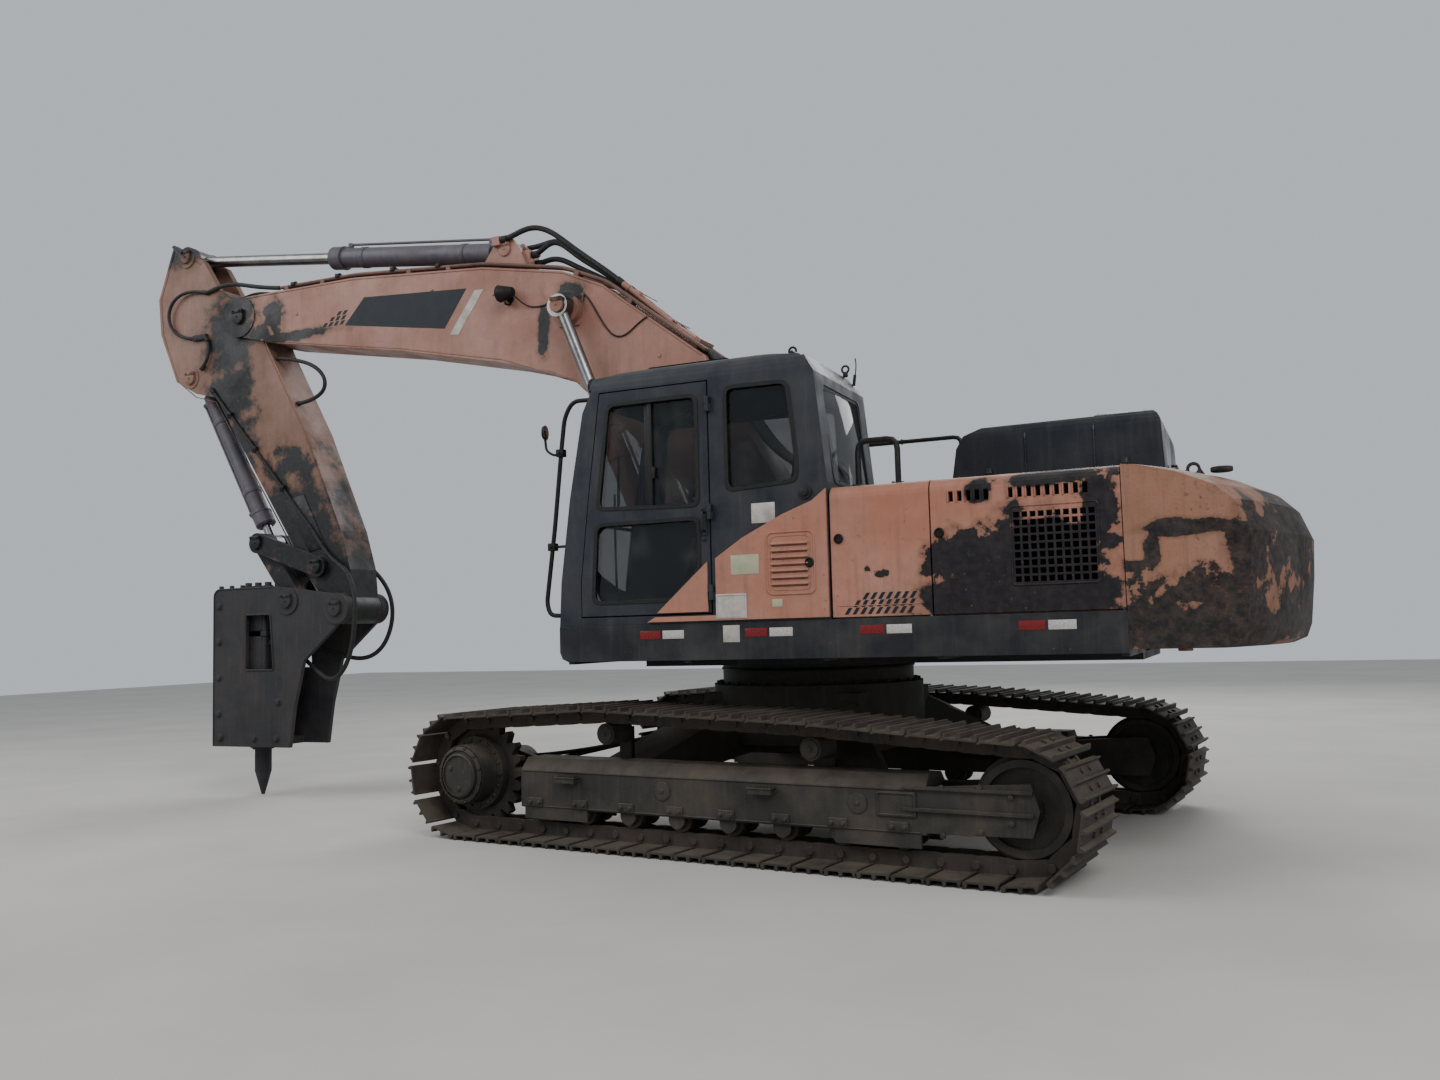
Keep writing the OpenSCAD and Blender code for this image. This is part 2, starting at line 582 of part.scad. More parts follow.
// Air slots and grille of the rear door: first slot, number of slots; grille's corner, holes, pitch
slots = [[-1285, 5], [-1600, 9]];
slot_pitch = 47;
slot_z = [1935, 1990];
grille_at = [-2005, 1492];
grille_n = [10, 9];
grille_pitch = 42;
module left_rear_door() {
    y0 = house_hw - door_t - 5;
    y1 = house_hw + 5;
    color([0.86, 0.55, 0.43]) difference() {
        side_door(cw_x, seam_x);
        for (s = slots) for (i = [0 : s[1] - 1]) let (x = s[0] - i * slot_pitch)
            block([x, y0, slot_z[0]], [x + 25, y1, slot_z[1]]);
        for (i = [0 : grille_n[0] - 1]) for (k = [0 : grille_n[1] - 1])
            let (x = grille_at[0] + i * grille_pitch, z = grille_at[1] + k * grille_pitch)
            block([x, y0, z], [x + grille_pitch * 0.7, y1, z + grille_pitch * 0.7]);
    }
}
module right_door() {
    color([0.86, 0.55, 0.43]) mirror([0, 1, 0]) side_door(cw_x, tank_x[0]);
}
engine_x = [-2000, -1260];
engine_y = [-700, 480];
module engine_block() {
    color([0.3, 0.3, 0.3])
        block([engine_x[0], engine_y[0], skirt_z1 + 0.3], [engine_x[1], engine_y[1], hood_z - 38]);
}
// Engine cover: outline from the side, raised at its rear, and rounded edges along its top
cover_r = 90;
function cover_outline() = let (x0 = cover_x[0], x1 = cover_x[1], z = cover_z)
    concat([[x1, hood_z + 0.3], [x1 - 45, z - 150], [x1 - 90, z - 75], [x1 - 200, z - 30],
        [x0 + 385, z - 22], [x0 + 360, z]],
    arc([x0 + 15 + cover_r, z - cover_r], cover_r, 90, 180, 5), [[x0, hood_z + 0.3]]);
module cover_section(g) {
    y0 = cover_y[0] + g;
    y1 = cover_y[1] - g;
    top = cover_z - g;
    polygon(concat([[y0, hood_z - g], [y1, hood_z - g]],
        arc([y1 - cover_r, top - cover_r], cover_r, 0, 90, 5),
        arc([y0 + cover_r, top - cover_r], cover_r, 90, 180, 5)));
}
cover_hinge = [cover_x[1] + knuckle_r, hood_z + knuckle_r + 0.3];
cover_hinge_y = [-500, 200];
module engine_cover() {
    wall = 25;
    inner_l = cover_x[1] - cover_x[0] - 2 * wall - 15;
    leaf = cover_hinge - [knuckle_r + 8, 5];
    color([0.12, 0.12, 0.13]) {
        difference() {
            intersection() {
                prism(cover_outline(), cover_y[0], cover_y[1]);
                along_x(cover_x[0] - 5, cover_x[1] + 5) cover_section(0);
            }
            intersection() {
                slab(cover_y[0], cover_y[1]) {
                    offset(delta = -wall) polygon(cover_outline());
                    translate([cover_x[0] + wall + 5, hood_z - wall]) square([inner_l, 90]);
                }
                along_x(cover_x[0] + 1, cover_x[1] - 1) cover_section(wall);
            }
        }
        for (y = cover_hinge_y) {
            bar(cover_hinge, knuckle_r, y, y + 60);
            block([leaf[0], y, leaf[1]], [cover_hinge[0], y + 60, leaf[1] + 14]);
        }
    }
}
// Counterweight: outline of its turned body, as shares of its depth from the tail in and of its
// height, with low eyes to lift it by
cw_depth = tail_r + cw_x;
cw_z0 = skirt_z0 + 20;
cw_shares = [[0.14, 0], [0.07, 0.03], [0.04, 0.11], [0.01, 0.39], [0, 0.605], [0.066, 0.77],
    [0.155, 0.857], [0.32, 0.938], [0.5, 0.991], [0.575, 1]];
cw_outline = concat([[0, cw_z0]],
    [for (p = cw_shares) [tail_r - p[0] * cw_depth, cw_z0 + p[1] * (hood_z - cw_z0)]], [[0, hood_z]]);
lift_eye_r = 22;
lift_eye_rim = 16;
lift_eye = [cw_x - 0.345 * cw_depth, hood_z + 34];
lift_eye_y = house_hw * 0.44;
module counterweight() {
    color([0.5, 0.42, 0.38]) {
        intersection() {
            rotate_extrude($fn = 128) polygon(cw_outline);
            block([-tail_r - 10, -house_hw, skirt_z0], [cw_x - 0.3, house_hw, hood_z + 10]);
        }
        both() difference() {
            prism(concat([[lift_eye[0] - 65, hood_z - 12], [lift_eye[0] + 65, hood_z - 12]],
                arc(lift_eye, lift_eye_r + lift_eye_rim, 0, 180, 8)), lift_eye_y - 15, lift_eye_y + 15);
            bar(lift_eye, lift_eye_r, lift_eye_y - 20, lift_eye_y + 20);
        }
    }
}
module fuel_tank() {
    color([0.86, 0.55, 0.43]) mirror([0, 1, 0]) along_x(tank_x[1] + 6, tank_x[2])
        polygon(rounded_top(-tank_y, house_hw, skirt_z1 + 0.3, hood_z - 20));
}
module hydraulic_tank() {
    color([0.86, 0.55, 0.43]) mirror([0, 1, 0]) along_x(tank_x[0] + 6, tank_x[1])
        polygon(rounded_top(-tank_y, house_hw, skirt_z1 + 0.3, hood_z));
}
box_x = [tank_x[2] + 6, 780, 1100];
box_z = [1700, 1500];
module tool_box() {
    color([0.86, 0.55, 0.43]) {
        block([box_x[0], -house_hw, skirt_z1 + 0.3], [box_x[1], tank_y - 170, box_z[0]]);
        block([box_x[1] - 1, -house_hw + 60, skirt_z1 + 0.3], [box_x[2], tank_y - 230, box_z[1]]);
    }
}
// Route with its corners rounded: points in space, distance of the bend from the corner
function bent(p, d) = len(p) < 3 ? p : concat([p[0]],
    [for (i = [1 : len(p) - 2]) let (a = p[i - 1] - p[i], b = p[i + 1] - p[i],
        q = p[i] + a * min(0.45, d / norm(a)), w = p[i] + b * min(0.45, d / norm(b)))
        each [for (t = [0, 0.33, 0.67, 1]) q * (1 - t) * (1 - t) + p[i] * 2 * t * (1 - t) + w * t * t]],
    [p[len(p) - 1]]);
// Round bar along a route, as one closed skin; side is a direction that no stretch follows
module rail(points, r, side = [0, 1, 0], bend = 60, n = 8) {
    p = bent(points, bend);
    last = len(p) - 1;
    rings = [for (i = [0 : last])
        let (t = p[min(i + 1, last)] - p[max(i - 1, 0)], u = cross(t, side) / norm(cross(t, side)),
            v = cross(t, u) / norm(t))
        for (k = [0 : n - 1]) p[i] + r * (u * cos(k * 360 / n) + v * sin(k * 360 / n))];
    polyhedron(rings, concat([[for (k = [0 : n - 1]) k]],
        [for (i = [0 : last - 1]) for (k = [0 : n - 1]) let (j = (k + 1) % n, a = i * n)
            each [[a + k, a + n + k, a + n + j], [a + k, a + n + j, a + j]]],
        [[for (k = [n - 1 : -1 : 0]) last * n + k]]));
}
// Handrails: routes in X and Z, behind the cab and along the right side
left_rail = [[-720, hood_z + 0.3], [-720, 2330], [-950, 2330], [-950, hood_z + 0.3]];
right_rail = [[-760, hood_z + 0.3], [-760, 2700], [200, 2700], [700, 2250], [700, box_z[0] + 0.3]];
rail_r = 17;
module handrails() {
    color([0.12, 0.12, 0.12]) {
        rail([for (p = left_rail) [p[0], house_hw - 150, p[1]]], rail_r);
        rail([for (p = right_rail) [p[0], -house_hw + 120, p[1]]], rail_r);
    }
}
// Bent grab bar before the cab's left post, and the round mirror on its stalk
grab_r = 14;
grab_y = house_hw - 49;
grab_z = [1400, 2730];
grab_bar = concat([[cab_face(grab_z[1] - grab_r) + 0.3, grab_z[1]]],
    [[1090, grab_z[1] + 5], [1150, 2640], [1178, 2430], [1232, 1960], [1300, 1480], [1275, grab_z[0] + 5]],
    [[cab_face(grab_z[0] - grab_r) + 0.3, grab_z[0]]]);
mirror_stalk = [[1178, 0, 2415], [1215, 20, 2400], [1262, 40, 2430], [1270, 46, 2545]];
mirror_r = 50;
module side_mirror() {
    color([0.12, 0.12, 0.12]) {
        rail([for (p = grab_bar) [p[0], grab_y, p[1]]], grab_r, [0, 1, 0.01], 50);
        rail([for (p = mirror_stalk) p + [0, grab_y, 0]], 8, [0.3, 1, 0.1], 30);
        translate(mirror_stalk[3] + [-11, grab_y, 0]) rotate([0, 90, 14]) cylinder(r = mirror_r, h = 20);
    }
}
module exhaust() {
    color([0.2, 0.17, 0.15]) translate([-1800, -house_hw + 410, hood_z + 0.3]) cylinder(r = 60, h = 330);
}

// Boom: upper edge from foot to nose, then lower edge back
boom_top = [[-40, 1905], [720, 3230], [1100, 3520], [1510, 3840], [1850, 3990], [2570, 4130],
    [3850, 4240], [5080, 4250]];
boom_low = [[5150, 3925], [4720, 3810], [3340, 3570], [2390, 3360], [1950, 3240], [1710, 3120],
    [250, 1670]];
module boom() {
    fork = arm_hw + side_gap + 4;
    fork_x = [boom_nose[0] - 330, boom_nose[0] + 500];
    color([0.86, 0.55, 0.43]) {
        difference() {
            union() {
                prism(concat(boom_top, boom_low), -boom_hw, boom_hw);
                bar(boom_foot, 145, -bracket_y + side_gap, bracket_y - side_gap);
                bar(boom_nose, 175, -boom_hw - 8, boom_hw + 8);
                bar(boom_pin, 120, -boom_cyl_y + eye_hw + side_gap, boom_cyl_y - eye_hw - side_gap);
            }
            bar(boom_foot, pin_r + pin_gap, -bracket_y, bracket_y);
            // Room for the arm between the nose plates
            block([fork_x[0], -fork, boom_nose[1] - 580], [fork_x[1], fork, boom_nose[1] + 420]);
        }
        bar(boom_nose, pin_r, -boom_hw - 12, boom_hw + 12);
        // Arm cylinder bracket
        both() prism([for (p = [[-230, -220], [260, -170], [90, 60], [-60, 90], [-130, 0]]) arm_cyl_foot + p],
            60 + side_gap, bracket_hw);
        bar(arm_cyl_foot, pin_r, -bracket_hw - 5, bracket_hw + 5);
        // Blocks that the hoses leave: beside and between the bracket's plates, and on the boom's back
        both() block([arm_cyl_foot[0] + 20, bracket_hw - 1, arm_cyl_foot[1] + 30],
            [arm_cyl_foot[0] + 90, bracket_hw + 46, arm_cyl_foot[1] + 100]);
        block([manifold_x, -61 - side_gap, arm_cyl_foot[1] - 215],
            [arm_cyl_foot[0] - 120, 61 + side_gap, arm_cyl_foot[1] - 20]);
        along(boom_top[1], boom_top[2]) block([junction_t - 50, -110, -5], [junction_t, 110, 75]);
    }
}
bracket_hw = 100;
manifold_x = arm_cyl_foot[0] - 205;
junction_t = 150;
// Work lamp on the boom's left side, facing forward
lamp_at = [2310, 3870];
module boom_lamp() {
    color([0.1, 0.1, 0.1]) {
        translate([lamp_at[0] - 40, boom_hw + 75, lamp_at[1]]) rotate([0, 90, 0]) {
            cylinder(r = 62, h = 85);
            translate([0, 0, -30]) cylinder(r1 = 30, r2 = 55, h = 31);
        }
        block([lamp_at[0] - 25, boom_hw + 0.3, lamp_at[1] - 30],
            [lamp_at[0] + 25, boom_hw + 30, lamp_at[1] + 30]);
    }
}
pipe_r = 14;
pipe_y = [-165, -128, 128, 165];
pipe_lift = 34;
// Line of the pipes over the boom's back, and the stretches of it that carry clamps
boom_pipe_path = concat([for (i = [1 : 6]) boom_top[i] + (i < 4 ? [-0.6, 0.8] : [0, 1]) * pipe_lift],
    [[4650, boom_top[6][1] + pipe_lift + 6.5]]);
module boom_pipes() {
    color([0.4, 0.33, 0.3]) {
        for (y = pipe_y) rail([for (p = boom_pipe_path) [p[0], y, p[1]]], pipe_r);
        for (i = [1, 2, 4, 5]) let (a = boom_top[i + 1], b = boom_top[i + 2])
            for (t = i < 3 ? [250] : [330, 720]) if (t < gap2(a, b))
                along(a, b) both() block([t - 20, pipe_y[2] - 20, 0.3], [t + 20, pipe_y[3] + 20, pipe_lift]);
    }
}
// Hoses that arch from the arm cylinder's foot to a block on the boom's back, as points in space
hose_r = 21;
hose_lift = 45;
function on_back(t, y) = let (u = unit2(boom_top[1], boom_top[2]))
    [boom_top[1][0] + u[0] * t - u[1] * hose_lift, y, boom_top[1][1] + u[1] * t + u[0] * hose_lift];
hose_starts = [
    [[arm_cyl_foot[0] + 19.7, 123, 4345], [2370, 123, 4345], [2280, 120, 4378], [2180, 112, 4402],
        [2080, 105, 4385], [1970, 98, 4325], [1850, 92, 4222], [1700, 88, 4100], [1500, 84, 3950],
        [1330, 84, 3800], [1160, 84, 3650]],
    [[arm_cyl_foot[0] + 19.7, -123, 4335], [2360, -123, 4335], [2260, -120, 4330], [2160, -112, 4345],
        [2060, -105, 4345], [1960, -98, 4290], [1850, -92, 4195], [1700, -88, 4080], [1500, -84, 3930],
        [1330, -84, 3785], [1160, -84, 3640]],
    [[manifold_x - 0.3, 28, 4215], [2170, 28, 4215], [2110, 28, 4255], [2040, 28, 4290],
        [1960, 28, 4270], [1880, 28, 4205], [1770, 28, 4110], [1620, 28, 4010], [1460, 28, 3890],
        [1300, 28, 3750], [1150, 28, 3625]],
    [[manifold_x - 0.3, -28, 4160], [2170, -28, 4160], [2090, -28, 4180], [2000, -28, 4168],
        [1900, -28, 4112], [1780, -28, 4040], [1640, -28, 3965], [1480, -28, 3865], [1310, -28, 3740],
        [1150, -28, 3620]]];
hose_end_y = [84, -84, 28, -28];
module boom_hoses() {
    color([0.1, 0.1, 0.1]) for (i = [0 : 3]) let (y = hose_end_y[i])
        rail(concat(hose_starts[i], [on_back(junction_t + 150, y), on_back(junction_t + 0.3, y)]),
            hose_r, [0, 1, 0.01], 60);
}
// Tube from its pin a towards its rod's pin b; a neck as wide as the eye clears the lugs
module cylinder_tube(a, b, r, rod, tube_l, hw, neck) {
    along(a, b) difference() {
        union() {
            rotate([0, 90, 0]) translate([0, 0, 165]) cylinder(r = r, h = tube_l - 165);
            rotate([0, 90, 0]) translate([0, 0, tube_l - 110]) cylinder(r = r + 14, h = 110);
            rotate([0, 90, 0]) cylinder(r = min(neck, hw - 1), h = 170);
            bar([0, 0], neck, -hw, hw);
        }
        bar([0, 0], pin_r + pin_gap, -hw - 1, hw + 1);
        rotate([0, 90, 0]) translate([0, 0, pin_r + 70]) cylinder(r = rod + pin_gap, h = tube_l);
    }
}
module cylinder_rod(a, b, rod, inside, hw) {
    l = gap2(a, b);
    along(a, b) {
        rotate([0, 90, 0]) translate([0, 0, inside]) cylinder(r = rod, h = l - inside);
        bar([l, 0], rod + 42, -hw, hw);
    }
}
boom_tube_l = 1560;
arm_tube_l = 1800;
tool_tube_l = 1510;
module boom_cylinder_tubes() {
    color([0.86, 0.55, 0.43]) for (s = [-1, 1]) translate([0, s * boom_cyl_y, 0])
        cylinder_tube(boom_cyl_foot, boom_pin, boom_cyl_r, boom_rod_r, boom_tube_l, eye_hw, 78);
}
module boom_cylinder_rods() {
    color([0.7, 0.7, 0.7]) for (s = [-1, 1]) translate([0, s * boom_cyl_y, 0])
        cylinder_rod(boom_cyl_foot, boom_pin, boom_rod_r, 1040, eye_hw);
}
module arm_cylinder_tube() {
    color([0.45, 0.45, 0.47])
        cylinder_tube(arm_cyl_foot, arm_cyl_eye, arm_cyl_r, arm_rod_r, arm_tube_l, 60, 85);
}
module arm_cylinder_rod() {
    color([0.6, 0.6, 0.6]) cylinder_rod(arm_cyl_foot, arm_cyl_eye, arm_rod_r, 1620, 90);
}
module tool_cylinder_tube() {
    color([0.35, 0.33, 0.32])
        cylinder_tube(tool_cyl_foot, link_knee, tool_cyl_r, tool_rod_r, tool_tube_l, 50, 80);
}
module tool_cylinder_rod() {
    color([0.6, 0.6, 0.6]) cylinder_rod(tool_cyl_foot, link_knee, tool_rod_r, 320, 42);
}

arm_front = [[5930, 4850], [6110, 4380], [6080, 4060], [5880, 3610], [5640, 3480], [5400, 3420],
    [4330, 1800], [4090, 1480]];
arm_rear = [[3890, 1560], [3915, 1860], [4010, 2180], [4380, 3030], [4810, 3800], [4960, 4150],
    [5350, 4330], [5560, 4650]];
module arm() {
    color([0.7, 0.5, 0.42]) {
        difference() {
            union() {
                prism(concat(arm_front, arm_rear), -arm_hw, arm_hw);
                bar(boom_nose, 160, -arm_hw - 4, arm_hw + 4);
                bar(arm_tip, 125, -160, 160);
                bar(link_foot, 90, -arm_hw - 4, arm_hw + 4);
            }
            bar(boom_nose, pin_r + pin_gap, -200, 200);
            bar(arm_tip, pin_r + pin_gap, -200, 200);
            // Room for the arm cylinder's eye and for the tool cylinder
            block([5300, -98, 4380], [6200, 98, 5000]);
            prism([[5380, 3440], [5650, 3360], [6200, 3300], [6200, 3820], [5520, 3860]], -72, 72);
        }
        both() bar(arm_cyl_eye, 95, 98, arm_hw + 10);
        both() bar(tool_cyl_foot, 90, 50 + side_gap, arm_hw + 8);
        bar(tool_cyl_foot, pin_r, -arm_hw - 12, arm_hw + 12);
        both() bar(link_foot, pin_r, arm_hw, arm_hw + 52);
    }
}
// Lines along both sides of the arm, and the hoses looped on its left side at the nose
arm_line = [[5450, 3500], [5000, 3000], [4300, 2200]];
arm_loops = [
    [[5500, 14, 4360], [5680, 30, 4405], [5860, 38, 4380], [5960, 38, 4240], [5930, 30, 4080],
        [5800, 20, 3985], [5640, 14, 3970]],
    [[5520, 14, 3970], [5450, 20, 3880], [5460, 24, 3760], [5560, 24, 3680]]];
arm_line_r = 14;
module arm_pipes() {
    y = arm_hw + arm_line_r;
    color([0.1, 0.1, 0.1]) {
        for (s = [-1, 1]) rail([for (p = arm_line) [p[0], s * y, p[1]]], arm_line_r);
        for (p = arm_loops) rail([for (q = p) [q[0], arm_hw + q[1], q[2]]], arm_line_r, [0, 1, 0.01]);
    }
}
module link_plate(a, b, ra, rb, y0, y1) {
    u = unit2(a, b);
    n = [-u[1], u[0]];
    prism([a + n * (ra - 4), b + n * (rb - 4), b - n * (rb - 4), a - n * (ra - 4)], y0, y1);
    bar(a, ra, y0, y1);
    bar(b, rb, y0, y1);
}
link_y = arm_hw + 4 + side_gap;
module link_arms() {
    color([0.25, 0.23, 0.22]) both() difference() {
        link_plate(link_foot, link_knee, 85, 85, link_y, link_y + 35);
        bar(link_foot, pin_r + pin_gap, link_y - 5, link_y + 50);
    }
}
module push_link() {
    color([0.25, 0.23, 0.22]) difference() {
        union() {
            both() link_plate(tool_pin, link_knee, 85, 85, 55, arm_hw);
            bar(tool_pin, 85, -arm_hw, arm_hw);
            block([tool_pin[0] + 40, -60, tool_pin[1] + 80], [tool_pin[0] + 160, 60, tool_pin[1] + 210]);
        }
        bar(tool_pin, pin_r + pin_gap, -200, 200);
    }
}
module breaker_case() {
    ear0 = arm_hw + side_gap + 5;
    cheek = tool_hw - tool_t;
    color([0.2, 0.19, 0.19]) {
        both() difference() {
            union() {
                prism(cheek_outline(), cheek, tool_hw);
                bar(arm_tip, 125, ear0, tool_hw + 12);
                bar(tool_pin, 110, ear0, tool_hw + 12);
            }
            prism([for (p = cheek_window) [tool_x[0], tool_z[1]] + p], cheek - 5, tool_hw + 5);
        }
        bar(arm_tip, pin_r, -tool_hw - 20, tool_hw + 20);
        bar(tool_pin, pin_r, -tool_hw - 20, tool_hw + 20);
        difference() {
            block([tool_x[0] + 140, -cheek - 5, tool_z[0]],
                [tool_x[1] - 30, cheek + 5, tool_z[0] + tool_plate]);
            translate([core_x, 0, tool_z[0] - 5]) cylinder(r = chisel_r + pin_gap, h = tool_plate + 10);
        }
        block([tool_x[0] + 200, -cheek - 5, tool_z[1] - tool_plate],
            [tool_x[1] - 80, cheek + 5, tool_z[1] - 20]);
        block([tool_x[1] - 40, -cheek - 5, tool_z[0]], [tool_x[1] - 10, cheek + 5, tool_z[1] - 80]);
    }
}
// Side plate of the breaker, from its lower front corner up and back over both pins
function cheek_outline() = concat([[tool_x[1], tool_z[0]]],
    arc([tool_x[1] - 70, tool_z[1] - 70], 70, 0, 90, 4),
    [[tool_x[0] + 60, tool_z[1]], tool_pin + [0, 110], arm_tip + [-20, 115], arm_tip + [-115, 0],
        arm_tip + [-20, -120], [tool_x[0] - 270, tool_z[0] + 700], [tool_x[0] - 170, tool_z[0] + 330],
        [tool_x[0] - 120, tool_z[0]]]);
cheek_window = [[50, -690], [360, -690], [360, -230], [90, -230]];
core_x = 5000;
tool_plate = 60;
core_size = [300, 340];
point_h = 190;
module breaker_core() {
    color([0.26, 0.24, 0.23]) {
        translate([core_x, 0, tool_z[0] + tool_plate + 0.3])
            linear_extrude(tool_z[1] - tool_z[0] - 2 * tool_plate - 0.6) square(core_size, center = true);
        translate([core_x, 0, chisel_z + point_h]) cylinder(r = chisel_r, h = 400);
        translate([core_x, 0, chisel_z]) cylinder(r1 = 12, r2 = chisel_r, h = point_h + 0.01);
    }
}

carbody();
track_frames();
track(1);  // track_left
track(-1);  // track_right
sprockets();
idlers();
rollers();
slew_ring();
revolving_frame();
cab_shell();
cab_glass();
cab_seat();
cab_side_cover();
rear_shell();
engine_block();
counterweight();
fuel_tank();
hydraulic_tank();
tool_box();
handrails();
side_mirror();
exhaust();
cab_door();
cab_door_glass();
left_front_door();
left_rear_door();
right_door();
engine_cover();
door_cover();
boom();
boom_lamp();
boom_pipes();
boom_hoses();
boom_cylinder_tubes();
boom_cylinder_rods();
arm_cylinder_tube();
arm_cylinder_rod();
arm();
arm_pipes();
tool_cylinder_tube();
tool_cylinder_rod();
link_arms();
push_link();
breaker_case();
breaker_core();
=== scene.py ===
# Crawler excavator with a breaker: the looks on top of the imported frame.
# Metres, X forward to the boom, Y to the machine's left, Z up.
import bpy
import math
import random
from mathutils import Matrix, Vector


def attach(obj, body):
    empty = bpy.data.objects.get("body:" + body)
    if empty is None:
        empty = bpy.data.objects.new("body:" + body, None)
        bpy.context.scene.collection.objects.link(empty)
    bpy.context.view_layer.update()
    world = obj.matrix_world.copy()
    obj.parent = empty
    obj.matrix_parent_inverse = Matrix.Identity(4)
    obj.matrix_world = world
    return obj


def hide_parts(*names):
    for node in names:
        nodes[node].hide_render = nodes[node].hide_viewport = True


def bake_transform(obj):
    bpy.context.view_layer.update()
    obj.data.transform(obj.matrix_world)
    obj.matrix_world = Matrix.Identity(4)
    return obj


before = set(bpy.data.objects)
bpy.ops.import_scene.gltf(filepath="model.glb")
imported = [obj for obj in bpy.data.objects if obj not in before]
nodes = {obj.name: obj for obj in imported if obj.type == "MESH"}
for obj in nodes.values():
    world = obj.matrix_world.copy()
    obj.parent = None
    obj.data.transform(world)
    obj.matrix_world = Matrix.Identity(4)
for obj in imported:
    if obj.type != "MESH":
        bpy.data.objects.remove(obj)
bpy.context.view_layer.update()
random.seed(11)
print("frame loaded,", len(nodes), "nodes")

# Camera, as solved from the photo's known sizes

camera = {"place": (-2.731, 7.564, 1.279), "yaw": 0.426, "pitch": 0.0773, "roll": -0.0268, "lens": 29.46,
    "sensor": 36.0}


def addCamera():
    yaw, pitch, roll = camera["yaw"], camera["pitch"], camera["roll"]
    ahead = Vector((math.sin(yaw) * math.cos(pitch), -math.cos(yaw) * math.cos(pitch), math.sin(pitch)))
    right = Vector((-math.cos(yaw), -math.sin(yaw), 0.0))
    up = right.cross(ahead)
    c, s = math.cos(roll), math.sin(roll)
    right, up = c * right + s * up, c * up - s * right
    bpy.ops.object.camera_add(location=camera["place"])
    eye = bpy.context.object
    turn = Matrix((right, up, -ahead)).transposed().to_4x4()
    eye.matrix_world = Matrix.Translation(camera["place"]) @ turn
    eye.data.lens = camera["lens"]
    eye.data.sensor_width = camera["sensor"]
    bpy.context.scene.camera = eye


addCamera()

# Small tools for modelling


def editAll():
    # Edit mode on the object in focus, with all of it selected
    bpy.ops.object.mode_set(mode="EDIT")
    bpy.ops.mesh.select_all(action="SELECT")


def endEdit():
    bpy.ops.object.mode_set(mode="OBJECT")


def deselectAll():
    if bpy.context.object and bpy.context.object.mode != "OBJECT":
        endEdit()
    bpy.ops.object.select_all(action="DESELECT")


def focus(piece):
    deselectAll()
    piece.select_set(True)
    bpy.context.view_layer.objects.active = piece


def applyPlace(piece):
    focus(piece)
    bpy.ops.object.transform_apply(location=True, rotation=True, scale=True)
    return piece


def applyModifier(piece, kind, **settings):
    focus(piece)
    modifier = piece.modifiers.new("Step", kind)
    for key, value in settings.items():
        setattr(modifier, key, value)
    bpy.ops.object.modifier_apply(modifier=modifier.name)
    return piece


def bevelEdges(piece, width, segments=2, angle=40):
    return applyModifier(piece, "BEVEL", width=width, segments=segments, limit_method="ANGLE",
                         angle_limit=math.radians(angle))


def selectFaces(piece, wanted):
    # wanted gets a face's centre and normal, both in the piece's own space
    focus(piece)
    for part in (piece.data.polygons, piece.data.edges, piece.data.vertices):
        part.foreach_set("select", [False] * len(part))
    for face in piece.data.polygons:
        face.select = bool(wanted(face.center, face.normal))
    bpy.ops.object.mode_set(mode="EDIT")
    bpy.ops.mesh.select_mode(type="FACE")


def towards(x=0, y=0, z=0):
    # The faces that look one way
    way = Vector((x, y, z))
    return lambda centre, normal: normal.dot(way) > 0.9


def insetFaces(piece, wanted, rim, depth):
    selectFaces(piece, wanted)
    bpy.ops.mesh.inset(thickness=rim, depth=0)
    bpy.ops.mesh.extrude_region_shrink_fatten(TRANSFORM_OT_shrink_fatten={"value": -depth})
    endEdit()
    return piece


def boreThrough(piece, axis, rim):
    # The two end faces across an axis inset and joined by the wall of a bore
    selectFaces(piece, lambda centre, normal: abs(normal.dot(axis)) > 0.99)
    bpy.ops.mesh.inset(thickness=rim, depth=0)
    bpy.ops.mesh.bridge_edge_loops()
    endEdit()
    return piece


def addBlock(low, high, bevel=0.004, segments=2):
    deselectAll()
    bpy.ops.mesh.primitive_cube_add(size=1, location=[(a + b) / 2 for a, b in zip(low, high)])
    piece = bpy.context.object
    piece.scale = [b - a for a, b in zip(low, high)]
    applyPlace(piece)
    if bevel:
        editAll()
        bpy.ops.mesh.bevel(offset=bevel, segments=segments, affect="EDGES")
        endEdit()
    return piece


def addRod(start, end, radius, sides=24, bevel=0.003, tip=None):
    # A round bar between two points; tip is another radius at its end
    a, b = Vector(start), Vector(end)
    turn = (b - a).to_track_quat("Z", "Y").to_euler()
    deselectAll()
    if tip is None:
        bpy.ops.mesh.primitive_cylinder_add(vertices=sides, radius=radius, depth=(b - a).length,
                                            location=(a + b) / 2, rotation=turn)
    else:
        bpy.ops.mesh.primitive_cone_add(vertices=sides, radius1=radius, radius2=tip, depth=(b - a).length,
                                        location=(a + b) / 2, rotation=turn)
    piece = applyPlace(bpy.context.object)
    if bevel:
        bevelEdges(piece, bevel)
    return piece


def crossRod(x, z, y0, y1, radius, sides=24, bevel=0.003):
    # A round bar across the machine
    return addRod((x, y0, z), (x, y1, z), radius, sides, bevel)


def uprightRod(x, y, z0, z1, radius, sides=24, bevel=0.003):
    return addRod((x, y, z0), (x, y, z1), radius, sides, bevel)


def addRing(centre, axis, radius, thick, sides=28, round=8):
    deselectAll()
    turn = Vector(axis).to_track_quat("Z", "Y").to_euler()
    bpy.ops.mesh.primitive_torus_add(location=centre, rotation=turn, major_radius=radius, minor_radius=thick,
                                     major_segments=sides, minor_segments=round)
    return applyPlace(bpy.context.object)


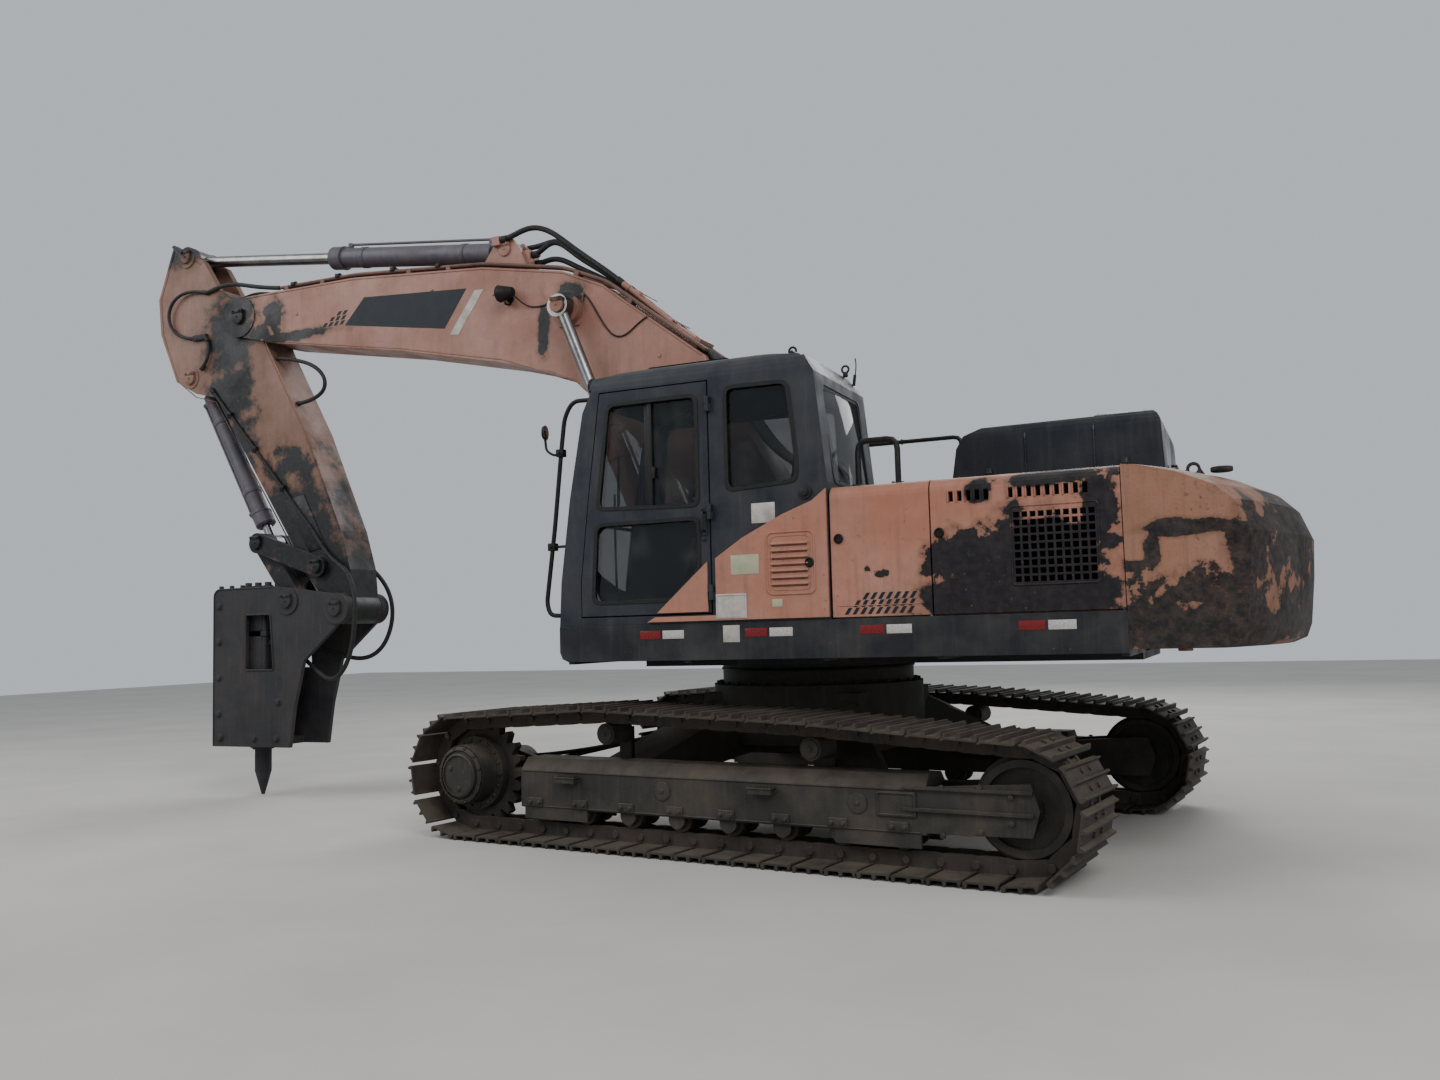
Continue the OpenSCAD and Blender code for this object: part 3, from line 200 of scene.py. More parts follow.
def addPlate(outline, along, low, high, bevel=0.003):
    # A flat outline in the two other axes, extruded along one: "x", "y" or "z"
    axis = "xyz".index(along)
    corners = []
    for pair in outline:
        corner = list(pair)
        corner.insert(axis, low)
        corners.append(corner)
    mesh = bpy.data.meshes.new("Plate")
    mesh.from_pydata(corners, [], [list(range(len(corners)))])
    piece = bpy.data.objects.new("Plate", mesh)
    bpy.context.scene.collection.objects.link(piece)
    focus(piece)
    editAll()
    step = [0.0, 0.0, 0.0]
    step[axis] = high - low
    bpy.ops.mesh.extrude_region_move(TRANSFORM_OT_translate={"value": step})
    bpy.ops.mesh.select_all(action="SELECT")
    bpy.ops.mesh.normals_make_consistent(inside=False)
    endEdit()
    if bevel:
        bevelEdges(piece, bevel)
    return piece


def addTube(points, radius, smooth=True, resolution=6, sides=3, close=False):
    # A round pipe or hose along points, as a curve that is made a mesh
    curve = bpy.data.curves.new("Route", "CURVE")
    curve.dimensions = "3D"
    curve.bevel_depth = radius
    curve.bevel_resolution = sides
    curve.use_fill_caps = not close
    line = curve.splines.new("NURBS" if smooth else "POLY")
    line.points.add(len(points) - 1)
    for point, place in zip(line.points, points):
        point.co = (*place, 1)
    if smooth:
        line.order_u = 4
        line.use_endpoint_u = not close
        line.resolution_u = resolution
    line.use_cyclic_u = close
    piece = bpy.data.objects.new("Route", curve)
    bpy.context.scene.collection.objects.link(piece)
    focus(piece)
    bpy.ops.object.convert(target="MESH")
    return bpy.context.object


def cornered(points, radius, steps=4):
    # The same route with its corners rounded
    places = [Vector(p) for p in points]
    route = [places[0]]
    for before, here, after in zip(places, places[1:], places[2:]):
        a, b = (before - here), (after - here)
        reach = min(radius, a.length * 0.45, b.length * 0.45)
        a, b = here + a.normalized() * reach, here + b.normalized() * reach
        for i in range(steps + 1):
            t = i / steps
            route.append((1 - t) ** 2 * a + 2 * t * (1 - t) * here + t ** 2 * b)
    return route + [places[-1]]


def addBead(line, thick=0.005):
    # A weld bead or a thin rib
    return addTube(line, thick, False, 2, 1)


def addBorder(loop, thick=0.005):
    return addTube(loop, thick, False, 2, 2, close=True)


def addBentBar(route, bend, radius, sides=3):
    return addTube(cornered(route, bend), radius, False, 2, sides)


def around(count, radius, shift=0.0):
    # Offsets of points evenly round a circle
    angles = [2 * math.pi * (i + shift) / count for i in range(count)]
    return [(radius * math.cos(a), radius * math.sin(a)) for a in angles]


def copyAt(piece, matrix):
    twin = bpy.data.objects.new(piece.name, piece.data.copy())
    twin.data.transform(matrix)
    if matrix.is_negative:
        twin.data.flip_normals()
    bpy.context.scene.collection.objects.link(twin)
    return twin


def shifted(piece, x=0.0, y=0.0, z=0.0):
    return copyAt(piece, Matrix.Translation((x, y, z)))


def mirrored(piece):
    return copyAt(piece, Matrix.Scale(-1, 4, (0, 1, 0)))


def otherSide(piece):
    # The piece on the right side instead
    twin = mirrored(piece)
    bpy.data.objects.remove(piece, do_unlink=True)
    return twin


def onSide(outline, y):
    # An outline of X and Z, laid at a place across the machine
    return [(x, y, z) for x, z in outline]


def turnedAbout(place, degrees, axis="Y"):
    centre = Matrix.Translation(place)
    return centre @ Matrix.Rotation(math.radians(degrees), 4, axis) @ centre.inverted()


def joinPieces(pieces):
    deselectAll()
    for piece in pieces:
        piece.select_set(True)
    bpy.context.view_layer.objects.active = pieces[0]
    bpy.ops.object.join()
    return bpy.context.object


def finish(name, pieces, body, mat, angle=35):
    piece = joinPieces(pieces) if len(pieces) > 1 else pieces[0]
    piece.name = name
    piece.data.name = name
    focus(piece)
    bpy.ops.object.shade_smooth_by_angle(angle=math.radians(angle))
    if mat:
        piece.data.materials.clear()
        piece.data.materials.append(mat)
    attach(piece, body)
    return piece


# Small tools for materials


def toLinear(code):
    parts = [int(code[i:i + 2], 16) / 255 for i in (1, 3, 5)]
    return [p / 12.92 if p <= 0.04045 else ((p + 0.055) / 1.055) ** 2.4 for p in parts] + [1.0]


def newMaterial(name, roughness=0.5, metallic=0.0):
    mat = bpy.data.materials.new(name)
    mat.use_nodes = True
    shader = mat.node_tree.nodes["Principled BSDF"]
    shader.inputs["Roughness"].default_value = roughness
    shader.inputs["Metallic"].default_value = metallic
    return mat, shader


def addNode(mat, kind, values=None, links=None, **settings):
    node = mat.node_tree.nodes.new("ShaderNode" + kind)
    for key, value in settings.items():
        setattr(node, key, value)
    for key, value in (values or {}).items():
        node.inputs[key].default_value = value
    for key, source in (links or {}).items():
        mat.node_tree.links.new(source, node.inputs[key])
    return node


def connect(mat, source, shader, socket):
    mat.node_tree.links.new(source, shader.inputs[socket])


def spread(mat, value, low, high):
    # A value stretched so that low gives 0 and high gives 1
    return addNode(mat, "MapRange", {"From Min": low, "From Max": high}, {"Value": value}).outputs[0]


def between(mat, value, low, high):
    # A value from 0 to 1 brought into a range
    return addNode(mat, "MapRange", {"To Min": low, "To Max": high}, {"Value": value}).outputs[0]


def grain(mat, place, scale, low, high, detail=5.0, rough=0.6, stretch=(1, 1, 1), shift=(0, 0, 0)):
    # A cloudy mask from 0 to 1; scale is in features per metre
    spot = addNode(mat, "Mapping", {"Scale": stretch, "Location": shift}, {"Vector": place})
    noise = addNode(mat, "TexNoise", {"Scale": scale, "Detail": detail, "Roughness": rough},
                    {"Vector": spot.outputs[0]})
    return spread(mat, noise.outputs[0], low, high)


def combine(mat, operation, a, b):
    node = addNode(mat, "Math", operation=operation)
    for i, value in enumerate((a, b)):
        if isinstance(value, (int, float)):
            node.inputs[i].default_value = value
        else:
            mat.node_tree.links.new(value, node.inputs[i])
    return node.outputs[0]


def times(mat, a, b):
    return combine(mat, "MULTIPLY", a, b)


def less(mat, a, b):
    return combine(mat, "SUBTRACT", a, b)


def tint(mat, under, over, mask):
    # One colour over another where the mask says; a colour is a hex code or a socket
    node = addNode(mat, "MixRGB")
    for key, value in (("Fac", mask), ("Color1", under), ("Color2", over)):
        if isinstance(value, str):
            node.inputs[key].default_value = toLinear(value)
        else:
            mat.node_tree.links.new(value, node.inputs[key])
    return node.outputs[0]


def patch(mat, place, ragged, centre, size, wild=1.0):
    # How far a spot lies inside a torn area round a point: ragged is the noise that tears its edge
    values = {"Scale": [1 / s for s in size], "Location": [-c / s for c, s in zip(centre, size)]}
    spot = addNode(mat, "Mapping", values, {"Vector": place})
    reach = addNode(mat, "VectorMath", links={0: spot.outputs[0]}, operation="LENGTH").outputs["Value"]
    torn = times(mat, less(mat, ragged, 0.5), wild * 2.2)
    return less(mat, combine(mat, "ADD", torn, 1.0), reach)


def sprayedTone(mat, look, place):
    # Fresh and faded paint in clouds with finer mottling, rain streaks and a film of dirt
    cloud = grain(mat, place, 1.6, 0.35, 0.68, 6)
    mottle = grain(mat, place, 14, 0.35, 0.7, 5, shift=(3, 1, 2))
    streak = grain(mat, place, 5, 0.52, 0.74, 5, stretch=(5, 5, 0.35), shift=(1, 0, 0))
    film = grain(mat, place, 3.2, 0.42, 0.72, 8, shift=(4, 4, 1))
    color = tint(mat, look["base"], look["faded"], cloud)
    color = tint(mat, color, look["mottle"], times(mat, mottle, 0.35))
    color = tint(mat, color, look["streak"], times(mat, streak, look["streaks"]))
    return tint(mat, color, look["dust"], times(mat, film, look["film"])), film


def burntAndShadedAreas(mat, look, place, color):
    # Torn areas where heat took the paint off, inside a singed border, and on the boom a strip of painted
    # shade drawn the same way; also each spot's mask, for its burn and its painted shade
    noise = addNode(mat, "TexNoise", {"Scale": 7.0, "Detail": 9.0, "Roughness": 0.62}, {"Vector": place})
    depth = None
    for spec in look["patches"]:
        area = patch(mat, place, noise.outputs[0], *spec)
        depth = area if depth is None else combine(mat, "MAXIMUM", depth, area)
    burnAndShadeMask = spread(mat, depth, 0.0, look["edge"])
    singed = spread(mat, depth, -look["halo"], 0.05)
    color = tint(mat, color, look["singed"], times(mat, singed, 0.6))
    sootAndShade = tint(mat, look["burnt"], look["ash"], grain(mat, place, 26, 0.38, 0.72, 6))
    return tint(mat, color, sootAndShade, burnAndShadeMask), burnAndShadeMask


def rustChips(mat, look, place):
    # Small chips down to rust, gathered in some places, and the rust's colour
    chips = grain(mat, place, 38, 0.66 - 0.12 * look["chips"], 0.7, 6, 0.7)
    gathered = grain(mat, place, 2.6, 0.45, 0.6, 3, shift=(7, 2, 5))
    rust = tint(mat, "#3A241B", "#7A4529", grain(mat, place, 45, 0.4, 0.65))
    return times(mat, chips, gathered), rust


def settledDust(mat, place, normal):
    # Dust on what faces up
    up = addNode(mat, "SeparateXYZ", links={0: normal}).outputs[2]
    return times(mat, spread(mat, up, 0.35, 1.0), grain(mat, place, 6, 0.25, 0.6, 6))


plainLook = {"shine": 0.3, "film": 0.18, "patches": (), "edge": 0.08, "halo": 0.35, "bump": 0.25}


def weatheredPaint(name, ownLook):
    # Sprayed alkyd enamel that weather, dust and heat have worked on: matt, patchy, chipped at its edges; one
    # of the boom's patches is painted shade
    look = {**plainLook, **ownLook}
    mat, shader = newMaterial(name, look["roughness"])
    shader.inputs["Specular IOR Level"].default_value = look["shine"]
    coords = addNode(mat, "TexCoord")
    place = coords.outputs["Object"]
    color, film = sprayedTone(mat, look, place)
    height = grain(mat, place, 60, 0.3, 0.7, 5)
    if look["patches"]:
        color, burnAndShadeMask = burntAndShadedAreas(mat, look, place, color)
        height = less(mat, height, times(mat, burnAndShadeMask, 0.8))
    chips, rust = rustChips(mat, look, place)
    color = tint(mat, color, rust, chips)
    dust = settledDust(mat, place, coords.outputs["Normal"])
    color = tint(mat, color, look["dust"], times(mat, dust, look["dusty"]))
    connect(mat, color, shader, "Base Color")
    rough = between(mat, film, look["roughness"] - 0.1, look["roughness"] + 0.25)
    connect(mat, rough, shader, "Roughness")
    height = less(mat, height, times(mat, chips, 0.6))
    edge = addNode(mat, "Bevel", {"Radius": 0.005}, samples=4)
    bump = addNode(mat, "Bump", {"Strength": look["bump"], "Distance": 0.0015},
                   {"Height": height, "Normal": edge.outputs[0]})
    connect(mat, bump.outputs[0], shader, "Normal")
    return mat


# Materials, each named for what the real one is

enamel = {"base": "#9C6652", "faded": "#A87A69", "mottle": "#8C5845", "streak": "#63453A",
    "burnt": "#0F0F12", "ash": "#292123", "singed": "#5E4230", "dust": "#746A60", "roughness": 0.52,
    "streaks": 0.35, "chips": 0.35, "dusty": 0.35}
charcoal = {"base": "#191D25", "faded": "#252A34", "mottle": "#14171E", "streak": "#44423F",
    "dust": "#6B665E", "roughness": 0.5, "streaks": 0.3, "chips": 0.1, "film": 0.16, "dusty": 0.25}
chassis = {"base": "#262524", "faded": "#35322E", "mottle": "#1F1E1E", "streak": "#4A4038",
    "dust": "#6A6054", "roughness": 0.72, "streaks": 0.4, "chips": 0.3, "film": 0.35, "dusty": 0.75,
    "bump": 0.5}

# Burnt patches, and on the boom one strip of painted shade: each with its centre, its half sizes and how
# ragged its edge is
panelPatches = (((-1.72, 1.36, 1.6), (0.4, 0.3, 0.25), 1.0), ((-1.33, 1.36, 1.62), (0.2, 0.3, 0.17), 1.2),
    ((-2.02, 1.36, 1.9), (0.11, 0.3, 0.19), 1.1), ((-1.6, 1.36, 1.41), (0.55, 0.3, 0.17), 0.7),
    ((-1.85, 1.36, 2.03), (0.3, 0.3, 0.045), 1.2), ((-1.42, 1.36, 1.97), (0.07, 0.2, 0.06), 1.2),
    ((-1.13, 1.36, 1.58), (0.06, 0.2, 0.05), 1.6), ((-0.88, 1.36, 1.57), (0.035, 0.2, 0.018), 2.6),
    ((-0.8, 1.36, 1.6), (0.02, 0.2, 0.02), 2.6), ((-2.0, -1.36, 1.5), (0.35, 0.3, 0.22), 1.4),
    ((-1.2, -1.36, 1.9), (0.25, 0.3, 0.12), 1.4))
shellPatches = (((-2.0, 0.9, 2.05), (0.5, 0.4, 0.2), 1.4), ((-1.5, -0.9, 2.05), (0.5, 0.4, 0.2), 1.4))
tailPatches = (((-3.05, 0.95, 1.72), (0.36, 0.9, 0.36), 1.1),
    ((-2.45, 1.36, 1.73), (0.24, 0.3, 0.045), 0.7), ((-2.27, 1.36, 1.63), (0.045, 0.3, 0.12), 1.2),
    ((-2.5, 1.3, 1.23), (0.7, 0.5, 0.15), 0.8), ((-2.17, 1.36, 1.55), (0.08, 0.3, 0.03), 1.2),
    ((-2.7, 1.2, 1.62), (0.1, 0.5, 0.26), 0.9), ((-2.45, 1.36, 1.42), (0.32, 0.4, 0.1), 2.0),
    ((-3.0, 0.0, 1.3), (0.3, 1.6, 0.22), 1.0), ((-2.95, -0.7, 1.6), (0.3, 0.7, 0.45), 1.3),
    ((-2.5, 0.4, 2.07), (0.35, 0.7, 0.12), 1.4))
boomBurnsAndShade = (((5.15, 0.2, 4.05), (0.26, 0.5, 0.26), 0.9), ((4.86, 0.2, 3.9), (0.14, 0.4, 0.1), 1.2),
    # Below, the long thin patch at (4.58, 3.84) is painted shade along the boom's lower edge
    ((4.7, 0.2, 4.03), (0.1, 0.4, 0.16), 1.5), ((4.58, 0.2, 3.84), (0.55, 0.3, 0.045), 1.0),
    ((1.78, 0.2, 3.78), (0.12, 0.3, 0.12), 0.9), ((2.02, 0.2, 3.6), (0.05, 0.3, 0.22), 1.3))
armPatches = (((5.95, 0.0, 4.86), (0.46, 0.5, 0.26), 0.7), ((5.26, 0.0, 3.92), (0.36, 0.5, 0.52), 0.8),
    ((5.22, 0.0, 3.42), (0.34, 0.5, 0.44), 0.9), ((5.12, 0.0, 2.95), (0.24, 0.5, 0.5), 1.1),
    ((4.52, 0.0, 2.16), (0.72, 0.6, 0.62), 0.7), ((4.05, 0.0, 1.7), (0.45, 0.6, 0.5), 0.6),
    ((4.9, 0.0, 2.15), (0.35, 0.6, 0.4), 0.5), ((4.55, 0.0, 2.75), (0.3, 0.6, 0.2), 1.4))

paintPanel = weatheredPaint("fadedOrangeEnamelPanels", {**enamel, "patches": panelPatches})
paintShell = weatheredPaint("fadedOrangeEnamelShell", {**enamel, "patches": shellPatches})
paintTail = weatheredPaint("burntOrangeEnamelTail", {
    **enamel, "base": "#855B47", "faded": "#94715F", "burnt": "#171516", "ash": "#3F332D", "chips": 0.8,
    "streaks": 0.6, "roughness": 0.68, "bump": 0.6, "patches": tailPatches})
# On the boom the burnt and ash tones also make the painted shade along its lower edge
paintBoom = weatheredPaint("fadedOrangeEnamelBoom", {
    **enamel, "base": "#8E6153", "faded": "#9A7568", "mottle": "#7F5444", "film": 0.25, "burnt": "#131519",
    "ash": "#2A2724", "edge": 0.2, "halo": 0.5, "patches": boomBurnsAndShade})
paintArm = weatheredPaint("oilyOrangeEnamelArm", {
    **enamel, "base": "#775549", "faded": "#86665A", "mottle": "#684A3B", "burnt": "#111318",
    "ash": "#232322", "streaks": 0.7, "edge": 0.35, "halo": 0.6, "chips": 0.6, "film": 0.3,
    "patches": armPatches})
paintCab = weatheredPaint("charcoalEnamelCab", charcoal)
paintSkirt = weatheredPaint("charcoalEnamelSkirt", {
    **charcoal, "base": "#17181D", "faded": "#212226", "film": 0.2})
paintHood = weatheredPaint("blackEnamelHood", {
    **charcoal, "base": "#17191F", "faded": "#1F2229", "mottle": "#121419", "roughness": 0.3, "film": 0.08,
    "chips": 0.0})
paintChassis = weatheredPaint("dustyChassisPaint", chassis)
steelTrack = weatheredPaint("castTrackSteel", {
    **chassis, "base": "#2B2623", "faded": "#3B342E", "streak": "#54463A", "chips": 0.7, "dust": "#5F564B",
    "film": 0.4})
paintTool = weatheredPaint("oilyBreakerPaint", {
    **chassis, "base": "#232428", "faded": "#323236", "dust": "#56504A", "film": 0.3, "chips": 0.5})
paintTube = weatheredPaint("greyCylinderEnamel", {
    **charcoal, "base": "#4A4750", "faded": "#5B5660", "streak": "#6F5648", "chips": 0.5, "film": 0.3})
paintPipe = weatheredPaint("fadedPipeEnamel",
                           {**enamel, "base": "#3A2E2C", "faded": "#6E5148", "streaks": 0.8})


def plainFinish(name, base, other, roughness, metallic=0.0, scale=40, strength=0.2):
    # Two close tones and a fine uneven surface
    mat, shader = newMaterial(name, roughness, metallic)
    shader.inputs["Specular IOR Level"].default_value = 0.3
    place = addNode(mat, "TexCoord").outputs["Object"]
    cloud = grain(mat, place, scale, 0.35, 0.7, 5)
    connect(mat, tint(mat, base, other, cloud), shader, "Base Color")
    bump = addNode(mat, "Bump", {"Strength": strength, "Distance": 0.0008}, {"Height": cloud})
    connect(mat, bump.outputs[0], shader, "Normal")
    return mat


rubberHose = plainFinish("braidedHoseRubber", "#141415", "#2A2826", 0.62)  # matt black with dust
rubberSeal = plainFinish("sealRubber", "#0F0F10", "#1D1C1C", 0.55)
chromeRod = plainFinish("dulledHardChrome", "#8F8F92", "#6B6764", 0.28, 1.0, 6, 0.05)  # scratched, oily
castGrey = plainFinish("engineCastIron", "#2C2B2A", "#3D3833", 0.6, 0.4)
steelPlain = plainFinish("zincPlatedSteel", "#6E6C69", "#4A423C", 0.45, 0.8)
steelDark = plainFinish("blackenedSteel", "#1A1A1B", "#2B2725", 0.5, 0.5)
plasticDark = plainFinish("mouldedAbsPlastic", "#16171A", "#202226", 0.5, 0.0, 160, 0.3)
plasticGrey = plainFinish("greyAbsPlastic", "#3A3D42", "#2E3136", 0.55, 0.0, 120, 0.3)
clothSeat = plainFinish("wovenSeatFabric", "#1B1D22", "#2A2D33", 0.9, 0.0, 260, 0.6)
mirrorGlass = plainFinish("silveredMirrorGlass", "#7C8184", "#6C7073", 0.1, 1.0, 3, 0.0)
lensClear = plainFinish("clearLampLens", "#B9BBB8", "#9C9B95", 0.12, 0.0, 30, 0.1)
reflectRed = plainFinish("redReflectorAcrylic", "#7A1F22", "#5A1618", 0.25, 0.0, 90, 0.4)
reflectWhite = plainFinish("whiteReflectorAcrylic", "#B9B6B2", "#96928C", 0.3, 0.0, 90, 0.4)
plateWhite = plainFinish("weatheredVinylPlate", "#B4AEA8", "#8E867E", 0.5, 0.0, 12, 0.1)
plateGreen = plainFinish("fadedGreenVinyl", "#8F9A80", "#B39F86", 0.5, 0.0, 14, 0.1)
decalDark = plainFinish("darkVinylBand", "#0E161D", "#151E26", 0.6, 0.0, 10, 0.1)


def windowGlass():
    # Tempered glass with a grey tint and a thin film of dust
    mat, shader = newMaterial("temperedTintedGlass", 0.04)
    place = addNode(mat, "TexCoord").outputs["Object"]
    film = grain(mat, place, 3, 0.5, 0.85, 4)
    connect(mat, tint(mat, "#12181C", "#4A4B47", film), shader, "Base Color")
    connect(mat, between(mat, film, 0.42, 0.62), shader, "Alpha")
    return mat


glassPane = windowGlass()

nodeFinish = {paintChassis: ("carbody", "track_frames", "sprockets", "idlers", "rollers"),
    steelTrack: ("track_left", "track_right"), castGrey: ("engine_block", "slew_ring"),
    paintSkirt: ("revolving_frame",), paintCab: ("cab_shell", "cab_door", "exhaust"),
    glassPane: ("cab_glass", "cab_door_glass"), clothSeat: ("cab_seat",),
    paintPanel: ("cab_side_cover", "door_cover", "left_front_door", "left_rear_door", "right_door"),
    paintShell: ("rear_shell", "fuel_tank", "hydraulic_tank", "tool_box"), paintTail: ("counterweight",),
    steelDark: ("handrails", "side_mirror", "boom_lamp"), paintHood: ("engine_cover",),
    paintBoom: ("boom", "boom_cylinder_tubes"), paintPipe: ("boom_pipes",),
    paintTube: ("arm_cylinder_tube", "tool_cylinder_tube"),
    chromeRod: ("boom_cylinder_rods", "arm_cylinder_rod", "tool_cylinder_rod"),
    paintArm: ("arm", "link_arms", "push_link"), rubberHose: ("arm_pipes",),
    paintTool: ("breaker_case", "breaker_core")}
for mat, names in nodeFinish.items():
    for name in names:
        nodes[name].data.materials.clear()
        nodes[name].data.materials.append(mat)
print("finishes set")

# Floor and light

# Each lamp has its place, aim, size and watts
studio = {"floor": 60.0, "floorHeight": -0.002, "floorPale": "#B9B6B0", "floorDark": "#ADAAA4",
    "sky": "#DDE3EA", "skyStrength": 0.75,
    "lamps": (((-9, 10, 11), (0, 0, 1.5), 9, 1500), ((10, 7, 9), (2, 0, 1.5), 8, 750),
        ((0, -12, 10), (0, 0, 2), 9, 900))}


def addStudio():
    deselectAll()
    bpy.ops.mesh.primitive_plane_add(size=studio["floor"], location=(0, 0, studio["floorHeight"]))
    floor = applyPlace(bpy.context.object)
    floor.name = "floor"
    mat, shader = newMaterial("paleConcrete", 0.85)
    place = addNode(mat, "TexCoord").outputs["Object"]
    tone = tint(mat, studio["floorPale"], studio["floorDark"], grain(mat, place, 0.7, 0.3, 0.7, 6))
    connect(mat, tone, shader, "Base Color")
    floor.data.materials.append(mat)
    world = bpy.data.worlds.new("Sky")
    world.use_nodes = True
    background = world.node_tree.nodes["Background"]
    background.inputs[0].default_value = toLinear(studio["sky"])
    background.inputs[1].default_value = studio["skyStrength"]
    bpy.context.scene.world = world
    for place, aim, size, power in studio["lamps"]:
        bpy.ops.object.light_add(type="AREA", location=place)
        lamp = bpy.context.object
        lamp.data.energy = power
        lamp.data.size = size
        lamp.rotation_euler = (Vector(aim) - Vector(place)).to_track_quat("-Z", "Y").to_euler()


addStudio()

# Track chains: they run round four circles, in the undercarriage's own frame

track = {"turn": -7.4, "length": 3.64, "gauge": 2.58, "width": 0.6, "pitch": 0.19, "linkOut": 0.038,
    "linkIn": 0.045, "plate": 0.012, "grouser": 0.026, "sprocket": 0.325, "idler": 0.29,
    "carriers": ((0.75, 0.785), (-0.65, 0.735)), "carrierPath": 0.11, "linkSide": 0.069, "linkHalf": 0.017,
    "bolt": 0.015, "pinAt": -0.095, "pinHalf": 0.1, "pin": 0.022, "sway": 0.012}
underTurn = Matrix.Rotation(math.radians(track["turn"]), 4, "Z")
trackBase = track["linkOut"] + track["plate"] + track["grouser"]
sprocketPlace = (track["length"] / 2, trackBase + track["sprocket"])
idlerPlace = (-track["length"] / 2, trackBase + track["idler"])


def beltCircles():
    rolls = [(sprocketPlace, track["sprocket"])]
    rolls += [((x, z - track["carrierPath"]), track["carrierPath"]) for x, z in track["carriers"]]
    return rolls + [(idlerPlace, track["idler"])]


def beltStretches():
    # The pin line as arcs and straight runs, each with its length
    circles = beltCircles()
    count = len(circles)
    leave = []
    for i in range(count):
        (a, ra), (b, rb) = circles[i], circles[(i + 1) % count]
        dx, dz = b[0] - a[0], b[1] - a[1]
        leave.append(math.atan2(dz, dx) - math.acos((ra - rb) / math.hypot(dx, dz)))
    stretches = []
    for i in range(count):
        start, turn = leave[i - 1], (leave[i] - leave[i - 1]) % (2 * math.pi)
        (c, r), (d, rd) = circles[i], circles[(i + 1) % count]
        p = (c[0] + r * math.cos(leave[i]), c[1] + r * math.sin(leave[i]))
        q = (d[0] + rd * math.cos(leave[i]), d[1] + rd * math.sin(leave[i]))
        stretches.append(("arc", turn * r, c, r, start))
        stretches.append(("run", math.hypot(q[0] - p[0], q[1] - p[1]), p, q, leave[i]))
    return stretches


def beltPlaces():
    # Points on the pin line, one per shoe, with the angle that points outwards
    stretches = beltStretches()
    total = sum(part[1] for part in stretches)
    shoes = round(total / track["pitch"])
    places = []
    for k in range(shoes):
        s = (k + 0.5) * total / shoes
        for part in stretches:
            if s < part[1]:
                break
            s -= part[1]
        kind, length, a, b, angle = part
        if kind == "arc":
            angle += s / b
            places.append((a[0] + b * math.cos(angle), a[1] + b * math.sin(angle), angle))
        else:
            t = s / length
            places.append((a[0] + (b[0] - a[0]) * t, a[1] + (b[1] - a[1]) * t, angle))
    return places


def addShoe():
    # One triple-grouser shoe and its two links, with the pin line at the origin and its outer side up
    half, low = track["pitch"] * 0.485, track["linkOut"]
    top = low + track["plate"]
    tall = top + track["grouser"]
    outline = [(-half, low + 0.004), (-half + 0.012, low), (half - 0.022, low), (half, low - 0.009),
               (half + 0.004, low - 0.002), (half - 0.006, top), (half - 0.01, top + 0.017),
               (half - 0.018, top + 0.017), (half - 0.026, top), (0.012, top), (0.006, tall), (-0.006, tall),
               (-0.012, top), (-half + 0.022, top), (-half + 0.014, tall), (-half + 0.003, tall),
               (-half - 0.004, top)]
    linkOutline = [(-0.12, -0.02), (-0.105, -0.04), (-0.05, -track["linkIn"]), (0.06, -track["linkIn"]),
                   (0.112, -0.036), (0.125, 0.0), (0.105, 0.028), (0.06, low), (-0.09, low), (-0.118, 0.02)]
    pieces = [addPlate(outline, "y", -track["width"] / 2, track["width"] / 2, 0)]
    for side in (-1, 1):
        y = side * track["linkSide"]
        pieces.append(addPlate(linkOutline, "y", y - track["linkHalf"], y + track["linkHalf"], 0))
        for x in (-0.045, 0.045):
            pieces.append(addRod((x, y, top - 0.002), (x, y, top + 0.012), track["bolt"], 6, 0))
    pieces.append(crossRod(track["pinAt"], 0, -track["pinHalf"], track["pinHalf"], track["pin"], 10, 0))
    return joinPieces(pieces)


def addTracks():
    shoe = addShoe()
    places = beltPlaces()
    for side, name, node in ((1, "trackChainLeft", "track_left"), (-1, "trackChainRight", "track_right")):
        copies = []
        for x, z, angle in places:
            # The shoe's outer side is its Z; it turns about Y so that Z points along the outward angle
            turn = Matrix.Rotation(math.pi / 2 - angle, 4, "Y")
            sway = Matrix.Rotation(random.uniform(-track["sway"], track["sway"]), 4, "Z")
            place = Matrix.Translation((x, side * track["gauge"] / 2, z)) @ turn @ sway
            copies.append(copyAt(shoe, underTurn @ place))
        belt = finish(name, copies, "undercarriage", steelTrack, 30)
        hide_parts(node)
    bpy.data.objects.remove(shoe, do_unlink=True)


addTracks()
print("tracks done")

# Undercarriage details, made on the left in the undercarriage's own frame


def bothTracks(piece):
    # A piece of the left side, and its copy on the right
    twin = mirrored(piece)
    piece.data.transform(underTurn)
    twin.data.transform(underTurn)
    return [piece, twin]


hub = {"face": 0.225, "cover": 0.187, "cap": 0.245, "capRadius": 0.146, "boltRing": 0.17, "bolts": 12,
    "bolt": 0.013, "plugs": ((0.0, -0.085), (0.073, 0.042)), "plug": 0.018, "rim": 0.094, "rimRing": 0.215,
    "rimBolts": 18, "rimBolt": 0.012}


